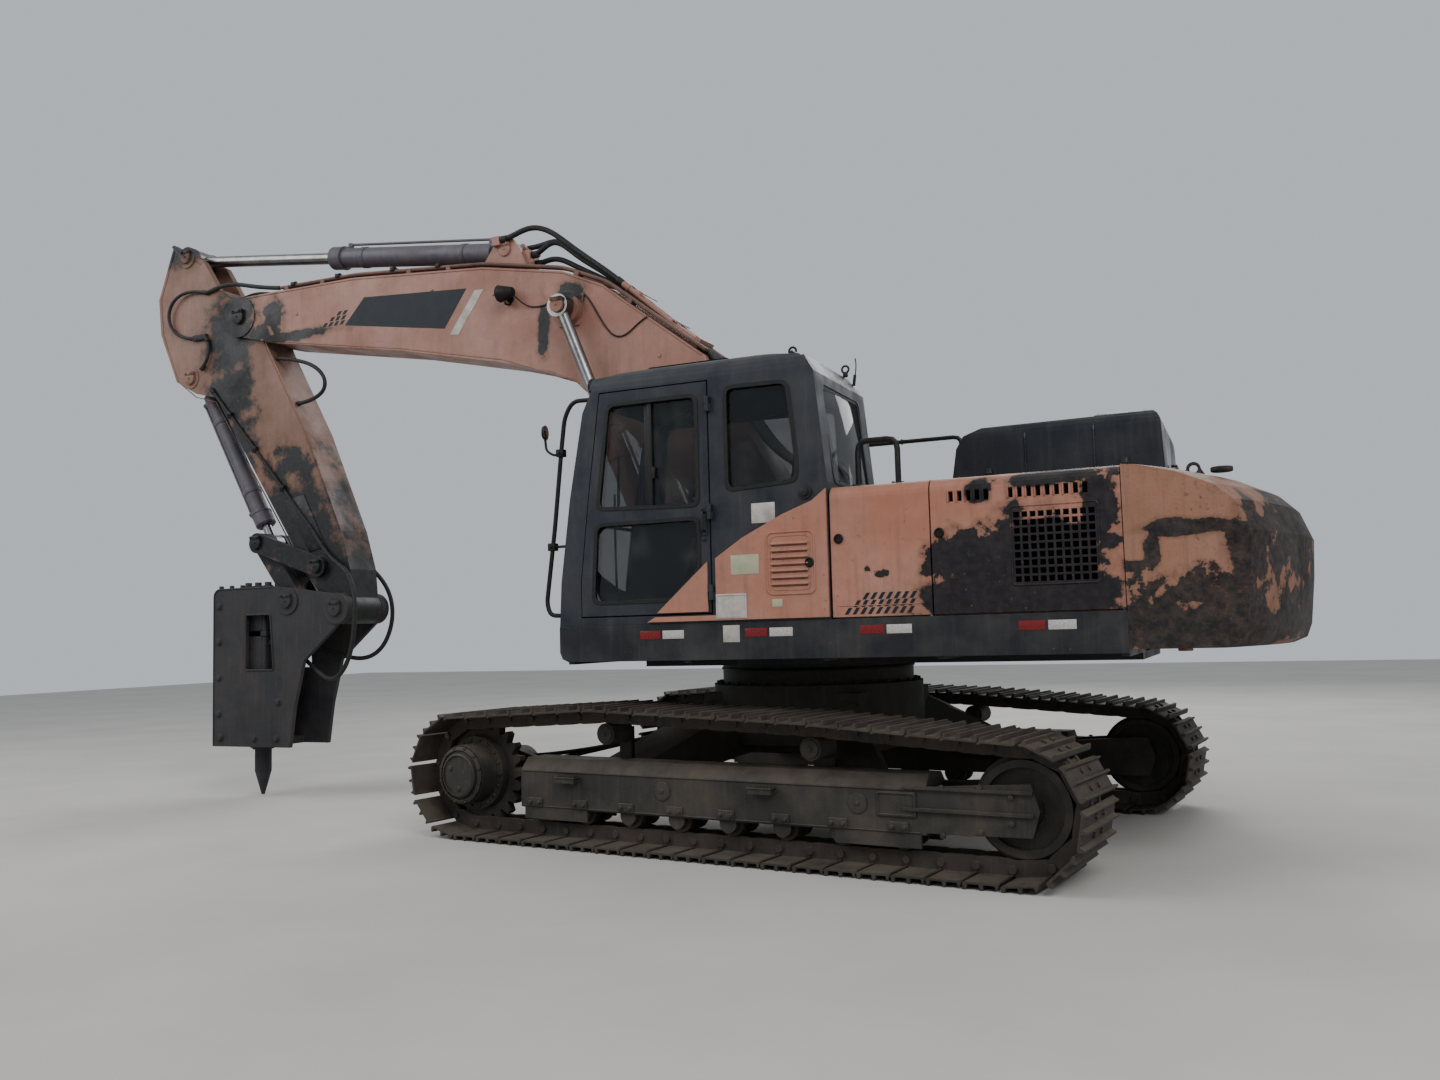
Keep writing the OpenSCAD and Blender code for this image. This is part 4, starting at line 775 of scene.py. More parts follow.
def addHubs():
    middle, x, z = track["gauge"] / 2, *sprocketPlace
    face, capFace = middle + hub["face"], middle + hub["cap"]
    cover = crossRod(x, z, face - 0.004, face + 0.01, hub["cover"], 40, 0.004)
    insetFaces(cover, towards(y=1), 0.03, 0.004)
    pieces = [cover]
    for dx, dz in around(hub["bolts"], hub["boltRing"], 0.5):
        pieces.append(crossRod(x + dx, z + dz, face + 0.006, face + 0.02, hub["bolt"], 6, 0.001))
    cap = crossRod(x, z, capFace - 0.004, capFace + 0.006, hub["capRadius"], 36, 0.003)
    insetFaces(cap, towards(y=1), 0.022, 0.003)
    pieces.append(cap)
    for dx, dz in hub["plugs"]:
        pieces.append(crossRod(x + dx, z + dz, capFace, capFace + 0.016, hub["plug"], 6, 0.002))
    rim = middle + hub["rim"]
    for dx, dz in around(hub["rimBolts"], hub["rimRing"]):
        pieces.append(crossRod(x + dx, z + dz, rim, rim + 0.013, hub["rimBolt"], 6, 0.001))
    whole = bothTracks(joinPieces(pieces))
    finish("hubCovers", whole, "undercarriage", paintChassis)


beam = {"halfWidth": 0.15, "rollers": 8, "firstRoller": -1.18, "lastRoller": 1.26, "flangeHalf": 0.055,
    "flangeLow": 0.222, "flangeTop": 0.276, "flangeBolt": 0.249, "boltOut": 0.035, "steps": (-0.38, 0.99),
    "stepHeight": 0.408, "teeth": 7, "toothPitch": 0.021, "greaseCovers": (-0.95, 0.3),
    "greaseHeight": 0.36, "beads": (0.225, 0.44), "yokeBolts": ((-1.42, 0.22), (-1.42, 0.46), (-1.62, 0.25),
        (-1.62, 0.47), (-1.78, 0.3), (-1.78, 0.43)), "motor": 0.135, "motorFrom": 0.155, "motorTo": 0.4}


def rollerFlanges(outer):
    pieces = []
    step = (beam["lastRoller"] - beam["firstRoller"]) / (beam["rollers"] - 1)
    for i in range(beam["rollers"]):
        x = beam["firstRoller"] + step * i
        pieces.append(addBlock((x - beam["flangeHalf"], outer - 0.004, beam["flangeLow"]),
                               (x + beam["flangeHalf"], outer + 0.012, beam["flangeTop"]), 0.004))
        for dx in (-beam["boltOut"], beam["boltOut"]):
            pieces.append(crossRod(x + dx, beam["flangeBolt"], outer + 0.008, outer + 0.026, 0.013, 6, 0.001))
    return pieces


def toothedSteps(outer):
    pieces = []
    z = beam["stepHeight"]
    for x in beam["steps"]:
        pieces.append(addBlock((x - 0.08, outer - 0.002, z), (x + 0.08, outer + 0.06, z + 0.008), 0.002))
        for k in range(beam["teeth"]):
            tooth = x - 0.07 + k * beam["toothPitch"]
            pieces.append(addBlock((tooth, outer + 0.004, z + 0.006),
                                   (tooth + 0.008, outer + 0.054, z + 0.016), 0))
    return pieces


def addFrameTrim():
    middle = track["gauge"] / 2
    outer = middle + beam["halfWidth"]
    pieces = rollerFlanges(outer) + toothedSteps(outer)
    for x in beam["greaseCovers"]:  # round grease valve covers, each with its bolt
        z = beam["greaseHeight"]
        pieces.append(crossRod(x, z, outer - 0.003, outer + 0.008, 0.055, 24, 0.003))
        pieces.append(crossRod(x, z, outer + 0.006, outer + 0.014, 0.014, 6, 0.001))
    for z in beam["beads"]:  # weld beads along the beam
        pieces.append(addBead([(x, outer + 0.001, z) for x in (-1.3, 0.0, 1.36)]))
    for x, z in beam["yokeBolts"]:
        pieces.append(crossRod(x, z, outer - 0.002, outer + 0.014, 0.016, 6, 0.0015))
    adjuster = addBlock((-1.28, outer - 0.002, 0.3), (-1.06, outer + 0.01, 0.43), 0.004)
    pieces.append(insetFaces(adjuster, towards(y=1), 0.012, 0.003))
    for cx, cz in track["carriers"]:  # carrier rollers' end caps
        z = cz - track["carrierPath"]
        pieces.append(crossRod(cx, z, middle + 0.088, middle + 0.104, 0.052, 20, 0.004))
        pieces.append(crossRod(cx, z, middle + 0.1, middle + 0.112, 0.015, 6, 0.001))
    pieces.append(crossRod(*sprocketPlace, middle - beam["motorFrom"], middle - beam["motorTo"],
                           beam["motor"], 28, 0.01))
    pieces.append(addBlock((1.42, middle - 0.3, 0.24), (1.62, middle - 0.155, 0.3), 0.006))
    whole = bothTracks(joinPieces(pieces))
    finish("trackFrameTrim", whole, "undercarriage", paintChassis)


slewRing = {"bolts": 36, "boltRing": 0.672, "low": 0.926, "top": 0.948, "bolt": 0.015, "sealHeight": 1.03,
    "seal": 0.64, "sealThick": 0.01}


def addRingTrim():
    pieces = []
    for x, y in around(slewRing["bolts"], slewRing["boltRing"]):
        pieces.append(uprightRod(x, y, slewRing["low"], slewRing["top"], slewRing["bolt"], 6, 0.0015))
    seal = (0, 0, slewRing["sealHeight"])
    pieces.append(addRing(seal, (0, 0, 1), slewRing["seal"], slewRing["sealThick"], 64, 8))
    finish("slewRingBolts", pieces, "undercarriage", steelDark)


swivel = {"radius": 0.095, "low": 0.6, "top": 1.02, "foot": 0.125, "footLow": 0.66, "footTop": 0.7,
    "hose": 0.014, "firstHose": 0.74, "hosePitch": 0.06}


def addSwivel():
    pieces = [uprightRod(0, 0, swivel["low"], swivel["top"], swivel["radius"], 28, 0.008),
              uprightRod(0, 0, swivel["footLow"], swivel["footTop"], swivel["foot"], 28, 0.004)]
    for side in (-1, 1):
        for k in range(2):
            z = swivel["firstHose"] + swivel["hosePitch"] * k
            end = 0.42 + 0.05 * k
            route = [(side * 0.02, side * 0.09, z), (0.1, side * 0.3, z), (0.62, side * 0.52, 0.66),
                     (1.2, side * 0.86, 0.52), (1.66, side * 0.95, end), (1.8, side * 1.0, end)]
            pieces.append(addTube(route, swivel["hose"]))
    whole = joinPieces(pieces)
    whole.data.transform(underTurn)
    finish("swivelAndHoses", [whole], "undercarriage", rubberHose)


addHubs()
addFrameTrim()
addRingTrim()
addSwivel()
print("undercarriage details done")

# House: side doors, louvres, grille, plates, reflectors

house = {"half": 1.364, "cover": 1.378, "hood": 2.068, "decal": 0.0016}


def rounded(x0, z0, x1, z1, radius, steps=5):
    # A rectangle with round corners
    corners = [(x1 - radius, z1 - radius, 0), (x0 + radius, z1 - radius, 90),
               (x0 + radius, z0 + radius, 180), (x1 - radius, z0 + radius, 270)]
    loop = []
    for cx, cz, start in corners:
        for k in range(steps + 1):
            a = math.radians(start + 90 * k / steps)
            loop.append((cx + radius * math.cos(a), cz + radius * math.sin(a)))
    return loop


def addDecal(outline, y):
    return addPlate(outline, "y", y - 0.001, y + house["decal"], 0)


def slanted(x, z, width, lean, height):
    # A small square that leans back
    return [(x, z), (x - width, z), (x - width - lean, z + height), (x - lean, z + height)]


vent = {"low": (-0.497, 1.478), "top": (-0.212, 1.828), "corner": 0.035, "out": 0.011,
    "rims": ((0.0, 0.006), (0.022, 0.003)), "slots": 7, "first": 1.52, "pitch": 0.038, "from": -0.462,
    "to": -0.238}


def addVent():
    y, (x0, z0), (x1, z1) = house["cover"], vent["low"], vent["top"]
    face, root = y + vent["out"], y - 0.002
    pieces = []
    for rim, thick in vent["rims"]:
        loop = rounded(x0 + rim, z0 + rim, x1 - rim, z1 - rim, vent["corner"])
        pieces.append(addBorder(onSide(loop, y), thick))
    for i in range(vent["slots"]):  # a pressed hood over each air slot
        z = vent["first"] + i * vent["pitch"]
        hood = [(root, z + 0.03), (face, z + 0.014), (face, z + 0.01), (root, z + 0.014)]
        pieces.append(addPlate(hood, "x", vent["from"], vent["to"], 0.001))
    finish("ventLouvres", pieces, "house", paintPanel)


doorLock = {"cup": 0.026, "core": 0.012, "slit": 0.0015, "slitHalf": 0.007,
    "places": (("house", -0.47, 1.65, "cover", 1), ("left_rear_door", -1.205, 1.772, "half", 1),
        ("left_front_door", -0.64, 1.772, "half", 1), ("right_door", -0.905, 1.772, "half", -1))}


def addLocks():
    for body, x, z, face, side in doorLock["places"]:
        y, slit, slitHalf = house[face], doorLock["slit"], doorLock["slitHalf"]
        cup = crossRod(x, z, y - 0.002, y + 0.008, doorLock["cup"], 24, 0.002)
        insetFaces(cup, towards(y=1), 0.006, 0.004)
        core = crossRod(x, z, y, y + 0.007, doorLock["core"], 16, 0.001)
        keyhole = addBlock((x - slit, y + 0.004, z - slitHalf), (x + slit, y + 0.008, z + slitHalf), 0)
        lock = joinPieces([cup, core, keyhole])
        if side < 0:
            lock = otherSide(lock)
        finish("doorLock_" + body, [lock], body, steelDark)


grilleScreen = {"centre": (-1.8, 1.322, 1.69), "size": (0.46, 0.42), "columns": 36, "rows": 34,
    "wire": 0.0035}


def addGrilleScreen():
    # Woven wire behind the grille's holes, drawn at twice its real wire spacing so that it shows
    deselectAll()
    columns, rows = grilleScreen["columns"], grilleScreen["rows"]
    bpy.ops.mesh.primitive_grid_add(x_subdivisions=columns, y_subdivisions=rows, size=1,
                                    location=grilleScreen["centre"], rotation=(math.pi / 2, 0, 0))
    screen = bpy.context.object
    screen.scale = (*grilleScreen["size"], 1)
    applyPlace(screen)
    applyModifier(screen, "WIREFRAME", thickness=grilleScreen["wire"], use_even_offset=False)
    finish("grilleScreen", [screen], "left_rear_door", steelDark)


reflector = {"places": (0.62, -0.06, -0.745, -1.6), "low": 1.243, "top": 1.292, "out": 0.0022,
    "red": (0.0, -0.135), "white": (-0.15, -0.29)}


def addReflectors():
    y = house["half"]
    for name, part, mat, slotName in (("reflectorRed", "red", reflectRed, "panel_orange"),
                                           ("reflectorWhite", "white", reflectWhite, "cylinder_grey")):
        near, far = reflector[part]
        pieces = []
        for x in reflector["places"]:
            for side in (1, -1):
                strip = addBlock((x + far, y - 0.001, reflector["low"]),
                                 (x + near, y + reflector["out"], reflector["top"]), 0.001)
                pieces.append(strip if side > 0 else otherSide(strip))
        finish(name, pieces, "house", mat)


# Blank plates and decals by their corners in X and Z
plates = {"onCab": (-0.263, 1.89, -0.118, 2.005), "onSkirt": (-0.026, 1.215, 0.078, 1.312),
    "onCover": (-0.08, 1.35, 0.112, 1.492), "green": (-0.162, 1.6, 0.012, 1.712),
    "smallGreen": (-0.3, 1.408, -0.238, 1.452)}


def flatPlate(name, y0, y1, bevel=0.0008):
    x0, z0, x1, z1 = plates[name]
    return addBlock((x0, y0, z0), (x1, y1, z1), bevel)


def addPlates():
    y, skirt = house["cover"], house["half"]
    onCab = flatPlate("onCab", 1.358, 1.3625, 0.0012)
    onSkirt = flatPlate("onSkirt", skirt - 0.001, skirt + 0.002)
    onCover = flatPlate("onCover", y - 0.001, y + 0.003, 0.0012)
    insetFaces(onCover, towards(y=1), 0.008, 0.0015)
    finish("blankPlates", [onCab, onSkirt, onCover], "house", plateWhite)
    greens = [flatPlate(name, y - 0.001, y + 0.0022) for name in ("green", "smallGreen")]
    finish("blankDecals", greens, "house", plateGreen)


checks = {"rows": 3, "columns": 9, "start": -0.66, "pitch": 0.044, "rowShift": 0.022, "rowSlant": 0.03,
    "low": 1.352, "rowPitch": 0.04, "end": -1.03, "width": 0.021, "lean": 0.024, "height": 0.036}


def addChecks():
    # Slanted rows of dark squares low on the front door, a generic stripe
    pieces = []
    for row in range(checks["rows"]):
        z = checks["low"] + row * checks["rowPitch"]
        shift = checks["rowShift"] if row % 2 else 0
        for column in range(checks["columns"]):
            x = checks["start"] - column * checks["pitch"] - shift - row * checks["rowSlant"]
            if x < checks["end"] or (row == 2 and column < 1):
                continue
            square = slanted(x, z, checks["width"], checks["lean"], checks["height"])
            pieces.append(addDecal(square, house["half"]))
    finish("checkStripe", pieces, "left_front_door", decalDark)


doorTrim = {"slotGroups": ((-1.285, 5), (-1.6, 9)), "slotPitch": 0.047, "slotLow": 1.928, "slotTop": 1.996,
    "grille": (-2.022, 1.476, -1.582, 1.888), "rib": ((-1.12, 1.4), (-0.63, 1.4)), "louvres": 8,
    "louvreLow": 1.55, "louvrePitch": 0.042, "louvreFrom": -1.95, "louvreTo": -1.45,
    "louvreFrame": (-2.0, 1.5, -1.4, 1.92)}


def addPanelTrim():
    # Slot hoods, borders and louvres on the doors, on the body that carries them
    y, low, top = house["half"], doorTrim["slotLow"], doorTrim["slotTop"]
    pieces = []
    for first, count in doorTrim["slotGroups"]:
        for i in range(count):
            x = first - i * doorTrim["slotPitch"]
            hood = [(y - 0.002, top), (y + 0.006, top - 0.004), (y + 0.006, low + 0.004), (y - 0.002, low)]
            pieces.append(addPlate(hood, "x", x + 0.024, x + 0.031, 0.001))
    pieces.append(addBorder(onSide(rounded(*doorTrim["grille"], 0.02), y)))
    finish("rearDoorTrim", pieces, "left_rear_door", paintPanel)
    rib = addBead(onSide(doorTrim["rib"], y - 0.001), 0.004)
    finish("frontDoorRib", [rib], "left_front_door", paintPanel)
    louvres = []
    for i in range(doorTrim["louvres"]):
        z = doorTrim["louvreLow"] + i * doorTrim["louvrePitch"]
        louvre = [(-y + 0.002, z + 0.03), (-y - 0.011, z + 0.012),
                  (-y - 0.011, z + 0.008), (-y + 0.002, z + 0.012)]
        louvres.append(addPlate(louvre, "x", doorTrim["louvreFrom"], doorTrim["louvreTo"], 0.001))
    louvres.append(addBorder(onSide(rounded(*doorTrim["louvreFrame"], 0.03), -y)))
    finish("rightDoorLouvres", louvres, "right_door", paintPanel)


addVent()
addLocks()
addGrilleScreen()
addReflectors()
addPlates()
addChecks()
addPanelTrim()
print("side panels done")

# Tops: engine cover, tanks, tool boxes, exhaust, counterweight

coverTrim = {"seams": ((-1.52, 2.476), (-1.915, 2.488)), "left": 0.453, "right": -0.763, "base": 2.1,
    "seam": 0.006, "latches": (-1.3, -2.08), "slots": 6, "firstSlot": 2.16, "slotPitch": 0.034,
    "slotFrom": -2.1, "slotTo": -1.62, "gripBack": -2.302, "gripHeight": 2.2, "gripLong": 0.3}


def addCoverTrim():
    left, right, base = coverTrim["left"], coverTrim["right"], coverTrim["base"]
    pieces = []
    for x, top in coverTrim["seams"]:  # raised seams across the cover
        loop = [(x, left, base), (x, left, top - 0.08), (x, left - 0.033, top - 0.018),
                (x, left - 0.093, top), (x, right + 0.093, top), (x, right + 0.033, top - 0.018),
                (x, right, top - 0.08), (x, right, base)]
        pieces.append(addBentBar(loop, 0.02, coverTrim["seam"], 2))
    for x in coverTrim["latches"]:  # rubber latches on the left side
        pieces.append(addBlock((x - 0.018, 0.446, 2.085), (x + 0.018, 0.47, 2.215), 0.005))
        pieces.append(addRod((x - 0.022, 0.466, 2.185), (x + 0.022, 0.466, 2.185), 0.008, 10, 0.001))
    x, z, y = coverTrim["gripBack"], coverTrim["gripHeight"], -coverTrim["gripLong"]
    pieces.append(addBentBar([(x, y, z), (x - 0.028, y, z), (x - 0.028, 0.0, z), (x, 0.0, z)], 0.02, 0.009))
    for i in range(coverTrim["slots"]):  # air slots in the right side of the cover
        z = coverTrim["firstSlot"] + i * coverTrim["slotPitch"]
        low, high = (coverTrim["slotFrom"], -0.766, z), (coverTrim["slotTo"], -0.757, z + 0.012)
        pieces.append(addBlock(low, high, 0.002))
    finish("engineCoverTrim", pieces, "engine_cover", paintHood)


exhaust = {"x": -1.8, "y": -0.954, "low": 2.06, "top": 2.4, "radius": 0.058, "wall": 0.008, "bore": 0.12,
    "flange": 0.105, "flangeLow": 2.069, "flangeTop": 2.085, "band": 2.2, "bandRadius": 0.06}


def addExhaust():
    x, y = exhaust["x"], exhaust["y"]
    pipe = uprightRod(x, y, exhaust["low"], exhaust["top"], exhaust["radius"], 28)
    insetFaces(pipe, towards(z=1), exhaust["wall"], exhaust["bore"])
    flange = uprightRod(x, y, exhaust["flangeLow"], exhaust["flangeTop"], exhaust["flange"], 28)
    band = addRing((x, y, exhaust["band"]), (0, 0, 1), exhaust["bandRadius"], 0.006, 28, 6)
    piece = finish("exhaustStack", [pipe, flange, band], "house", castGrey)
    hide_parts("exhaust")


tankTrim = {"caps": ((-0.6, -0.8, 0.0, 0.085), (-0.02, -1.15, -0.02, 0.06)),
    "breathers": ((-0.6, -1.12), (-0.48, -0.62)), "capBolts": 8, "capBoltRing": 0.095,
    "gauge": (-0.46, 1.46, -0.42, 1.7), "drain": (-0.1, 1.42),
    "panels": ((-0.8, 1.38, -0.36, 1.98), (-0.28, 1.38, 0.22, 1.95), (0.3, 1.38, 0.74, 1.66))}


def addTankTrim():
    caps = []
    top = house["hood"]
    for x, y, lift, radius in tankTrim["caps"]:
        z = top + lift
        caps.append(uprightRod(x, y, z, z + 0.02, radius + 0.018, 28))
        lid = uprightRod(x, y, z + 0.018, z + 0.05, radius, 20, 0.006)
        caps.append(insetFaces(lid, towards(z=1), 0.012, 0.004))
    for x, y in tankTrim["breathers"]:
        caps.append(uprightRod(x, y, top, top + 0.036, 0.03, 16, 0.004))
    capX, capY = tankTrim["caps"][0][:2]
    for dx, dy in around(tankTrim["capBolts"], tankTrim["capBoltRing"]):
        caps.append(uprightRod(capX + dx, capY + dy, top + 0.018, top + 0.028, 0.009, 6, 0.001))
    finish("tankCaps", caps, "house", paintSkirt)
    x0, z0, x1, z1 = tankTrim["gauge"]
    gauge = addBlock((x0, -1.37, z0), (x1, -1.36, z1), 0.003)
    insetFaces(gauge, towards(y=-1), 0.01, 0.002)
    panels = [gauge, crossRod(*tankTrim["drain"], -1.362, -1.374, 0.03, 20, 0.002)]
    for corners in tankTrim["panels"]:
        panels.append(addBorder(onSide(rounded(*corners, 0.03), -house["half"])))
    finish("tankTrim", panels, "house", paintShell)


tread = {"plates": ((0.285, -1.345, 0.765, -0.66, 1.7005), (0.8, -1.285, 1.085, -0.72, 1.5005)),
    "thick": 0.006, "stud": 0.012, "pitch": 0.06, "edge": 0.03, "handle": ((0.45, 0.6), -1.2, 1.706)}


def addTread():
    # Pressed tread plates with raised round studs on the tool boxes
    pieces = []
    edge, pitch = tread["edge"], tread["pitch"]
    for x0, y0, x1, y1, z in tread["plates"]:
        pieces.append(addBlock((x0, y0, z), (x1, y1, z + tread["thick"]), 0.002))
        stud = uprightRod(x0 + edge, y0 + edge, z + 0.004, z + 0.012, tread["stud"], 8, 0.002)
        nx, ny = int((x1 - x0 - 0.04) / pitch), int((y1 - y0 - 0.04) / pitch)
        spots = [(i * pitch, k * pitch) for i in range(nx + 1) for k in range(ny + 1) if i or k]
        pieces += [shifted(stud, *spot) for spot in spots]
        pieces.append(stud)
    (x0, x1), y, z = tread["handle"]
    pieces.append(addBentBar([(x0, y, z), (x0, y, z + 0.034), (x1, y, z + 0.034), (x1, y, z)], 0.02, 0.008))
    finish("treadPlates", pieces, "house", paintSkirt)


tailTrim = {"covers": (-2.6, 0.95), "hitches": (-2.35, 0.45),
    "railFeet": ((-0.72, 1.214), (-0.95, 1.214), (-0.76, -1.244)), "boxFoot": (0.7, -1.244), "foot": 0.042,
    "footBolts": 3, "footBoltRing": 0.03, "railEyes": (-0.3, 0.16)}


def addTailTrim():
    pieces = []
    x, out = tailTrim["covers"]
    for y in (-out, out):  # bolt covers
        pieces.append(uprightRod(x, y, 2.035, 2.062, 0.055, 24, 0.006))
    x, out = tailTrim["hitches"]
    for y in (-out, out):  # bolts under the counterweight
        pieces.append(uprightRod(x, y, 1.128, 1.1, 0.045, 6, 0.004))
        pieces.append(uprightRod(x, y, 1.138, 1.124, 0.07, 24))
    finish("tailBolts", pieces, "house", paintTail)
    rails = []
    for x, y in tailTrim["railFeet"]:
        rails.append(uprightRod(x, y, 2.068, 2.08, tailTrim["foot"], 20))
        for i in range(tailTrim["footBolts"]):
            bx = x + tailTrim["footBoltRing"] * math.cos(i * 2.1)
            by = y + tailTrim["footBoltRing"] * math.sin(i * 2.1)
            rails.append(uprightRod(bx, by, 2.078, 2.088, 0.007, 6, 0.0005))
    rails.append(uprightRod(*tailTrim["boxFoot"], 1.7, 1.713, tailTrim["foot"], 20))
    for x in tailTrim["railEyes"]:
        rails.append(addRing((x, tailTrim["boxFoot"][1], 2.7), (1, 0, 0), 0.019, 0.005, 16, 6))
    finish("railFeet", rails, "house", steelDark)


addCoverTrim()
addExhaust()
addTankTrim()
addTread()
addTailTrim()
print("top details done")

# Cab: frames round the glass, roof, lamps, handles, mirror and the inside

cab = {"side": 1.36, "doorSide": 1.364}


def inward(points, width):
    # The outline moved inwards by a width, for a convex outline
    pairs = list(zip(points, points[1:] + points[:1]))
    area = sum(x0 * z1 - x1 * z0 for (x0, z0), (x1, z1) in pairs)
    sign = 1 if area > 0 else -1
    lines = []
    for (x0, z0), (x1, z1) in pairs:
        length = math.hypot(x1 - x0, z1 - z0)
        nx, nz = -(z1 - z0) / length * sign, (x1 - x0) / length * sign
        lines.append((x0 + nx * width, z0 + nz * width, (x1 - x0) / length, (z1 - z0) / length))
    result = []
    for (ax, az, adx, adz), (bx, bz, bdx, bdz) in zip(lines[-1:] + lines[:-1], lines):
        t = ((bx - ax) * bdz - (bz - az) * bdx) / (adx * bdz - adz * bdx)
        result.append((ax + adx * t, az + adz * t))
    return result


def softLoop(points, radius, steps=4):
    # A closed outline with round corners
    loop = []
    for i, point in enumerate(points):
        before, here, after = Vector(points[i - 1]), Vector(point), Vector(points[(i + 1) % len(points)])
        a, b = before - here, after - here
        reach = min(radius, a.length * 0.45, b.length * 0.45)
        a, b = here + a.normalized() * reach, here + b.normalized() * reach
        for k in range(steps + 1):
            t = k / steps
            loop.append(((1 - t) ** 2 * a + 2 * t * (1 - t) * here + t ** 2 * b)[:])
    return loop


def addRingSheet(outer, inner, place, depth):
    # A sheet between two loops of as many points; place gives a point's position
    count = len(outer)
    vertices = [place(*p) for p in outer + inner]
    faces = [(i, (i + 1) % count, count + (i + 1) % count, count + i) for i in range(count)]
    mesh = bpy.data.meshes.new("Ring")
    mesh.from_pydata(vertices, [], faces)
    ring = bpy.data.objects.new("Ring", mesh)
    bpy.context.scene.collection.objects.link(ring)
    focus(ring)
    editAll()
    bpy.ops.mesh.normals_make_consistent(inside=False)
    endEdit()
    applyModifier(ring, "SOLIDIFY", thickness=depth, offset=0)
    return bevelEdges(ring, min(depth * 0.3, 0.002), 1)


def acrossAt(y):
    # Places a point of an outline in X and Z
    return lambda x, z: (x, y, z)


def onRearWall(y, z):
    # The cab's rear wall leans forward
    return windows["rearWall"] + (z - 2.1) * 0.109, y, z


# Openings by their corners in X and Z; the one in the rear wall by Y and Z
windows = {"width": 0.02, "corner": 0.042, "depth": 0.008, "rearWall": -0.5805, "rightWall": 0.4295,
    "upper": [(0.21, 2.01), (0.905, 2.03), (0.82, 2.68), (0.21, 2.68)],
    "lower": [(0.4, 1.46), (0.945, 1.46), (0.915, 1.95), (0.21, 1.95), (0.21, 1.64)],
    "rear": [(0.04, 2.085), (0.04, 2.705), (-0.365, 2.7), (-0.41, 2.24), (-0.41, 2.11)],
    "behind": [(0.55, 2.1), (1.234, 2.1), (1.234, 2.68), (0.55, 2.68)],
    "right": [(-0.38, 1.8), (0.96, 1.8), (0.89, 2.68), (-0.34, 2.68)]}


def addWindowFrame(name, place):
    # A flat ring with rounded corners that covers an opening's edge
    radius = windows["corner"]
    inner = softLoop(inward(windows[name], windows["width"]), radius)
    outer = softLoop(inward(windows[name], -0.004), radius + 0.016)
    return addRingSheet(outer, inner, place, windows["depth"])


# Sliding panes: their own plane, then each bar's corners in X and Z and its faces beside that plane
slides = {"plane": 1.337, "bars": ((0.545, 2.015, 0.575, 2.68, -0.004, 0.006),
        (0.52, 2.015, 0.55, 2.68, 0.008, 0.018), (0.215, 2.012, 0.9, 2.036, -0.004, 0.018),
        (0.215, 2.664, 0.822, 2.68, -0.004, 0.018)), "latch": ((0.5, 0.01, 2.2), (0.52, 0.026, 2.27))}


def addCabFrames():
    door = [addWindowFrame(name, acrossAt(cab["doorSide"] + 0.001)) for name in ("upper", "lower")]
    y = slides["plane"]
    for x0, z0, x1, z1, y0, y1 in slides["bars"]:
        door.append(addBlock((x0, y + y0, z0), (x1, y + y1, z1), 0.002))
    (x0, y0, z0), (x1, y1, z1) = slides["latch"]
    door.append(addBlock((x0, y + y0, z0), (x1, y + y1, z1), 0.003))
    finish("doorWindowSeals", door, "cab_door", rubberSeal)
    shell = [addWindowFrame("rear", acrossAt(cab["side"] + 0.001)), addWindowFrame("behind", onRearWall),
             addWindowFrame("right", acrossAt(windows["rightWall"]))]
    finish("cabWindowSeals", shell, "house", rubberSeal)


# The tear's edge in X and Z, and a point inside it
film = {"centre": (0.8, 1.76), "plane": 1.3295, "thick": 0.0012,
    "tear": [(0.69, 1.925), (0.74, 1.925), (0.775, 1.925), (0.792, 1.925), (0.82, 1.925), (0.846, 1.925),
        (0.878, 1.915), (0.905, 1.884), (0.91, 1.86), (0.922, 1.842), (0.931, 1.817), (0.934, 1.76),
        (0.937, 1.69), (0.917, 1.66), (0.885, 1.626), (0.85, 1.604), (0.812, 1.576), (0.77, 1.548),
        (0.713, 1.525), (0.699, 1.6), (0.704, 1.7), (0.695, 1.79), (0.684, 1.88), (0.681, 1.925)]}


def rayReach(centre, way, border):
    # How many times way fits between the centre and a convex border
    reach = 9.0
    (cx, cz), (dx, dz) = centre, way
    for (ax, az), (bx, bz) in zip(border, border[1:] + border[:1]):
        cross = dx * (bz - az) - dz * (bx - ax)
        if abs(cross) > 1e-9:
            t = ((ax - cx) * (bz - az) - (az - cz) * (bx - ax)) / cross
            s = ((ax - cx) * dz - (az - cz) * dx) / cross
            if t > 0 and -0.001 <= s <= 1.001:
                reach = min(reach, t)
    return reach


def addTornFilm():
    # Dark film behind the door's lower glass, torn open towards the front
    border = inward(windows["lower"], 0.003)
    cx, cz = film["centre"]
    outer = []
    for x, z in film["tear"]:  # the same direction, out to the glass's edge
        reach = rayReach((cx, cz), (x - cx, z - cz), border)
        outer.append((cx + (x - cx) * reach, cz + (z - cz) * reach))
    sheet = addRingSheet(outer, film["tear"], acrossAt(film["plane"]), film["thick"])
    finish("tornWindowFilm", [sheet], "cab_door", plasticDark)


rearPane = {"outline": [(0.552, 2.102), (1.232, 2.102), (1.232, 2.678), (0.552, 2.678)], "half": 0.003,
    "back": -0.548, "height": 2.39, "lean": 6.2}


def addRearPane():
    # The rear pane, set in its rubber
    pane = addPlate(rearPane["outline"], "x", -rearPane["half"], rearPane["half"], 0.001)
    pane.data.transform(Matrix.Translation((rearPane["back"], 0, 0))
                        @ turnedAbout((0, 0, rearPane["height"]), rearPane["lean"]))
    finish("rearPane", [pane], "house", glassPane)


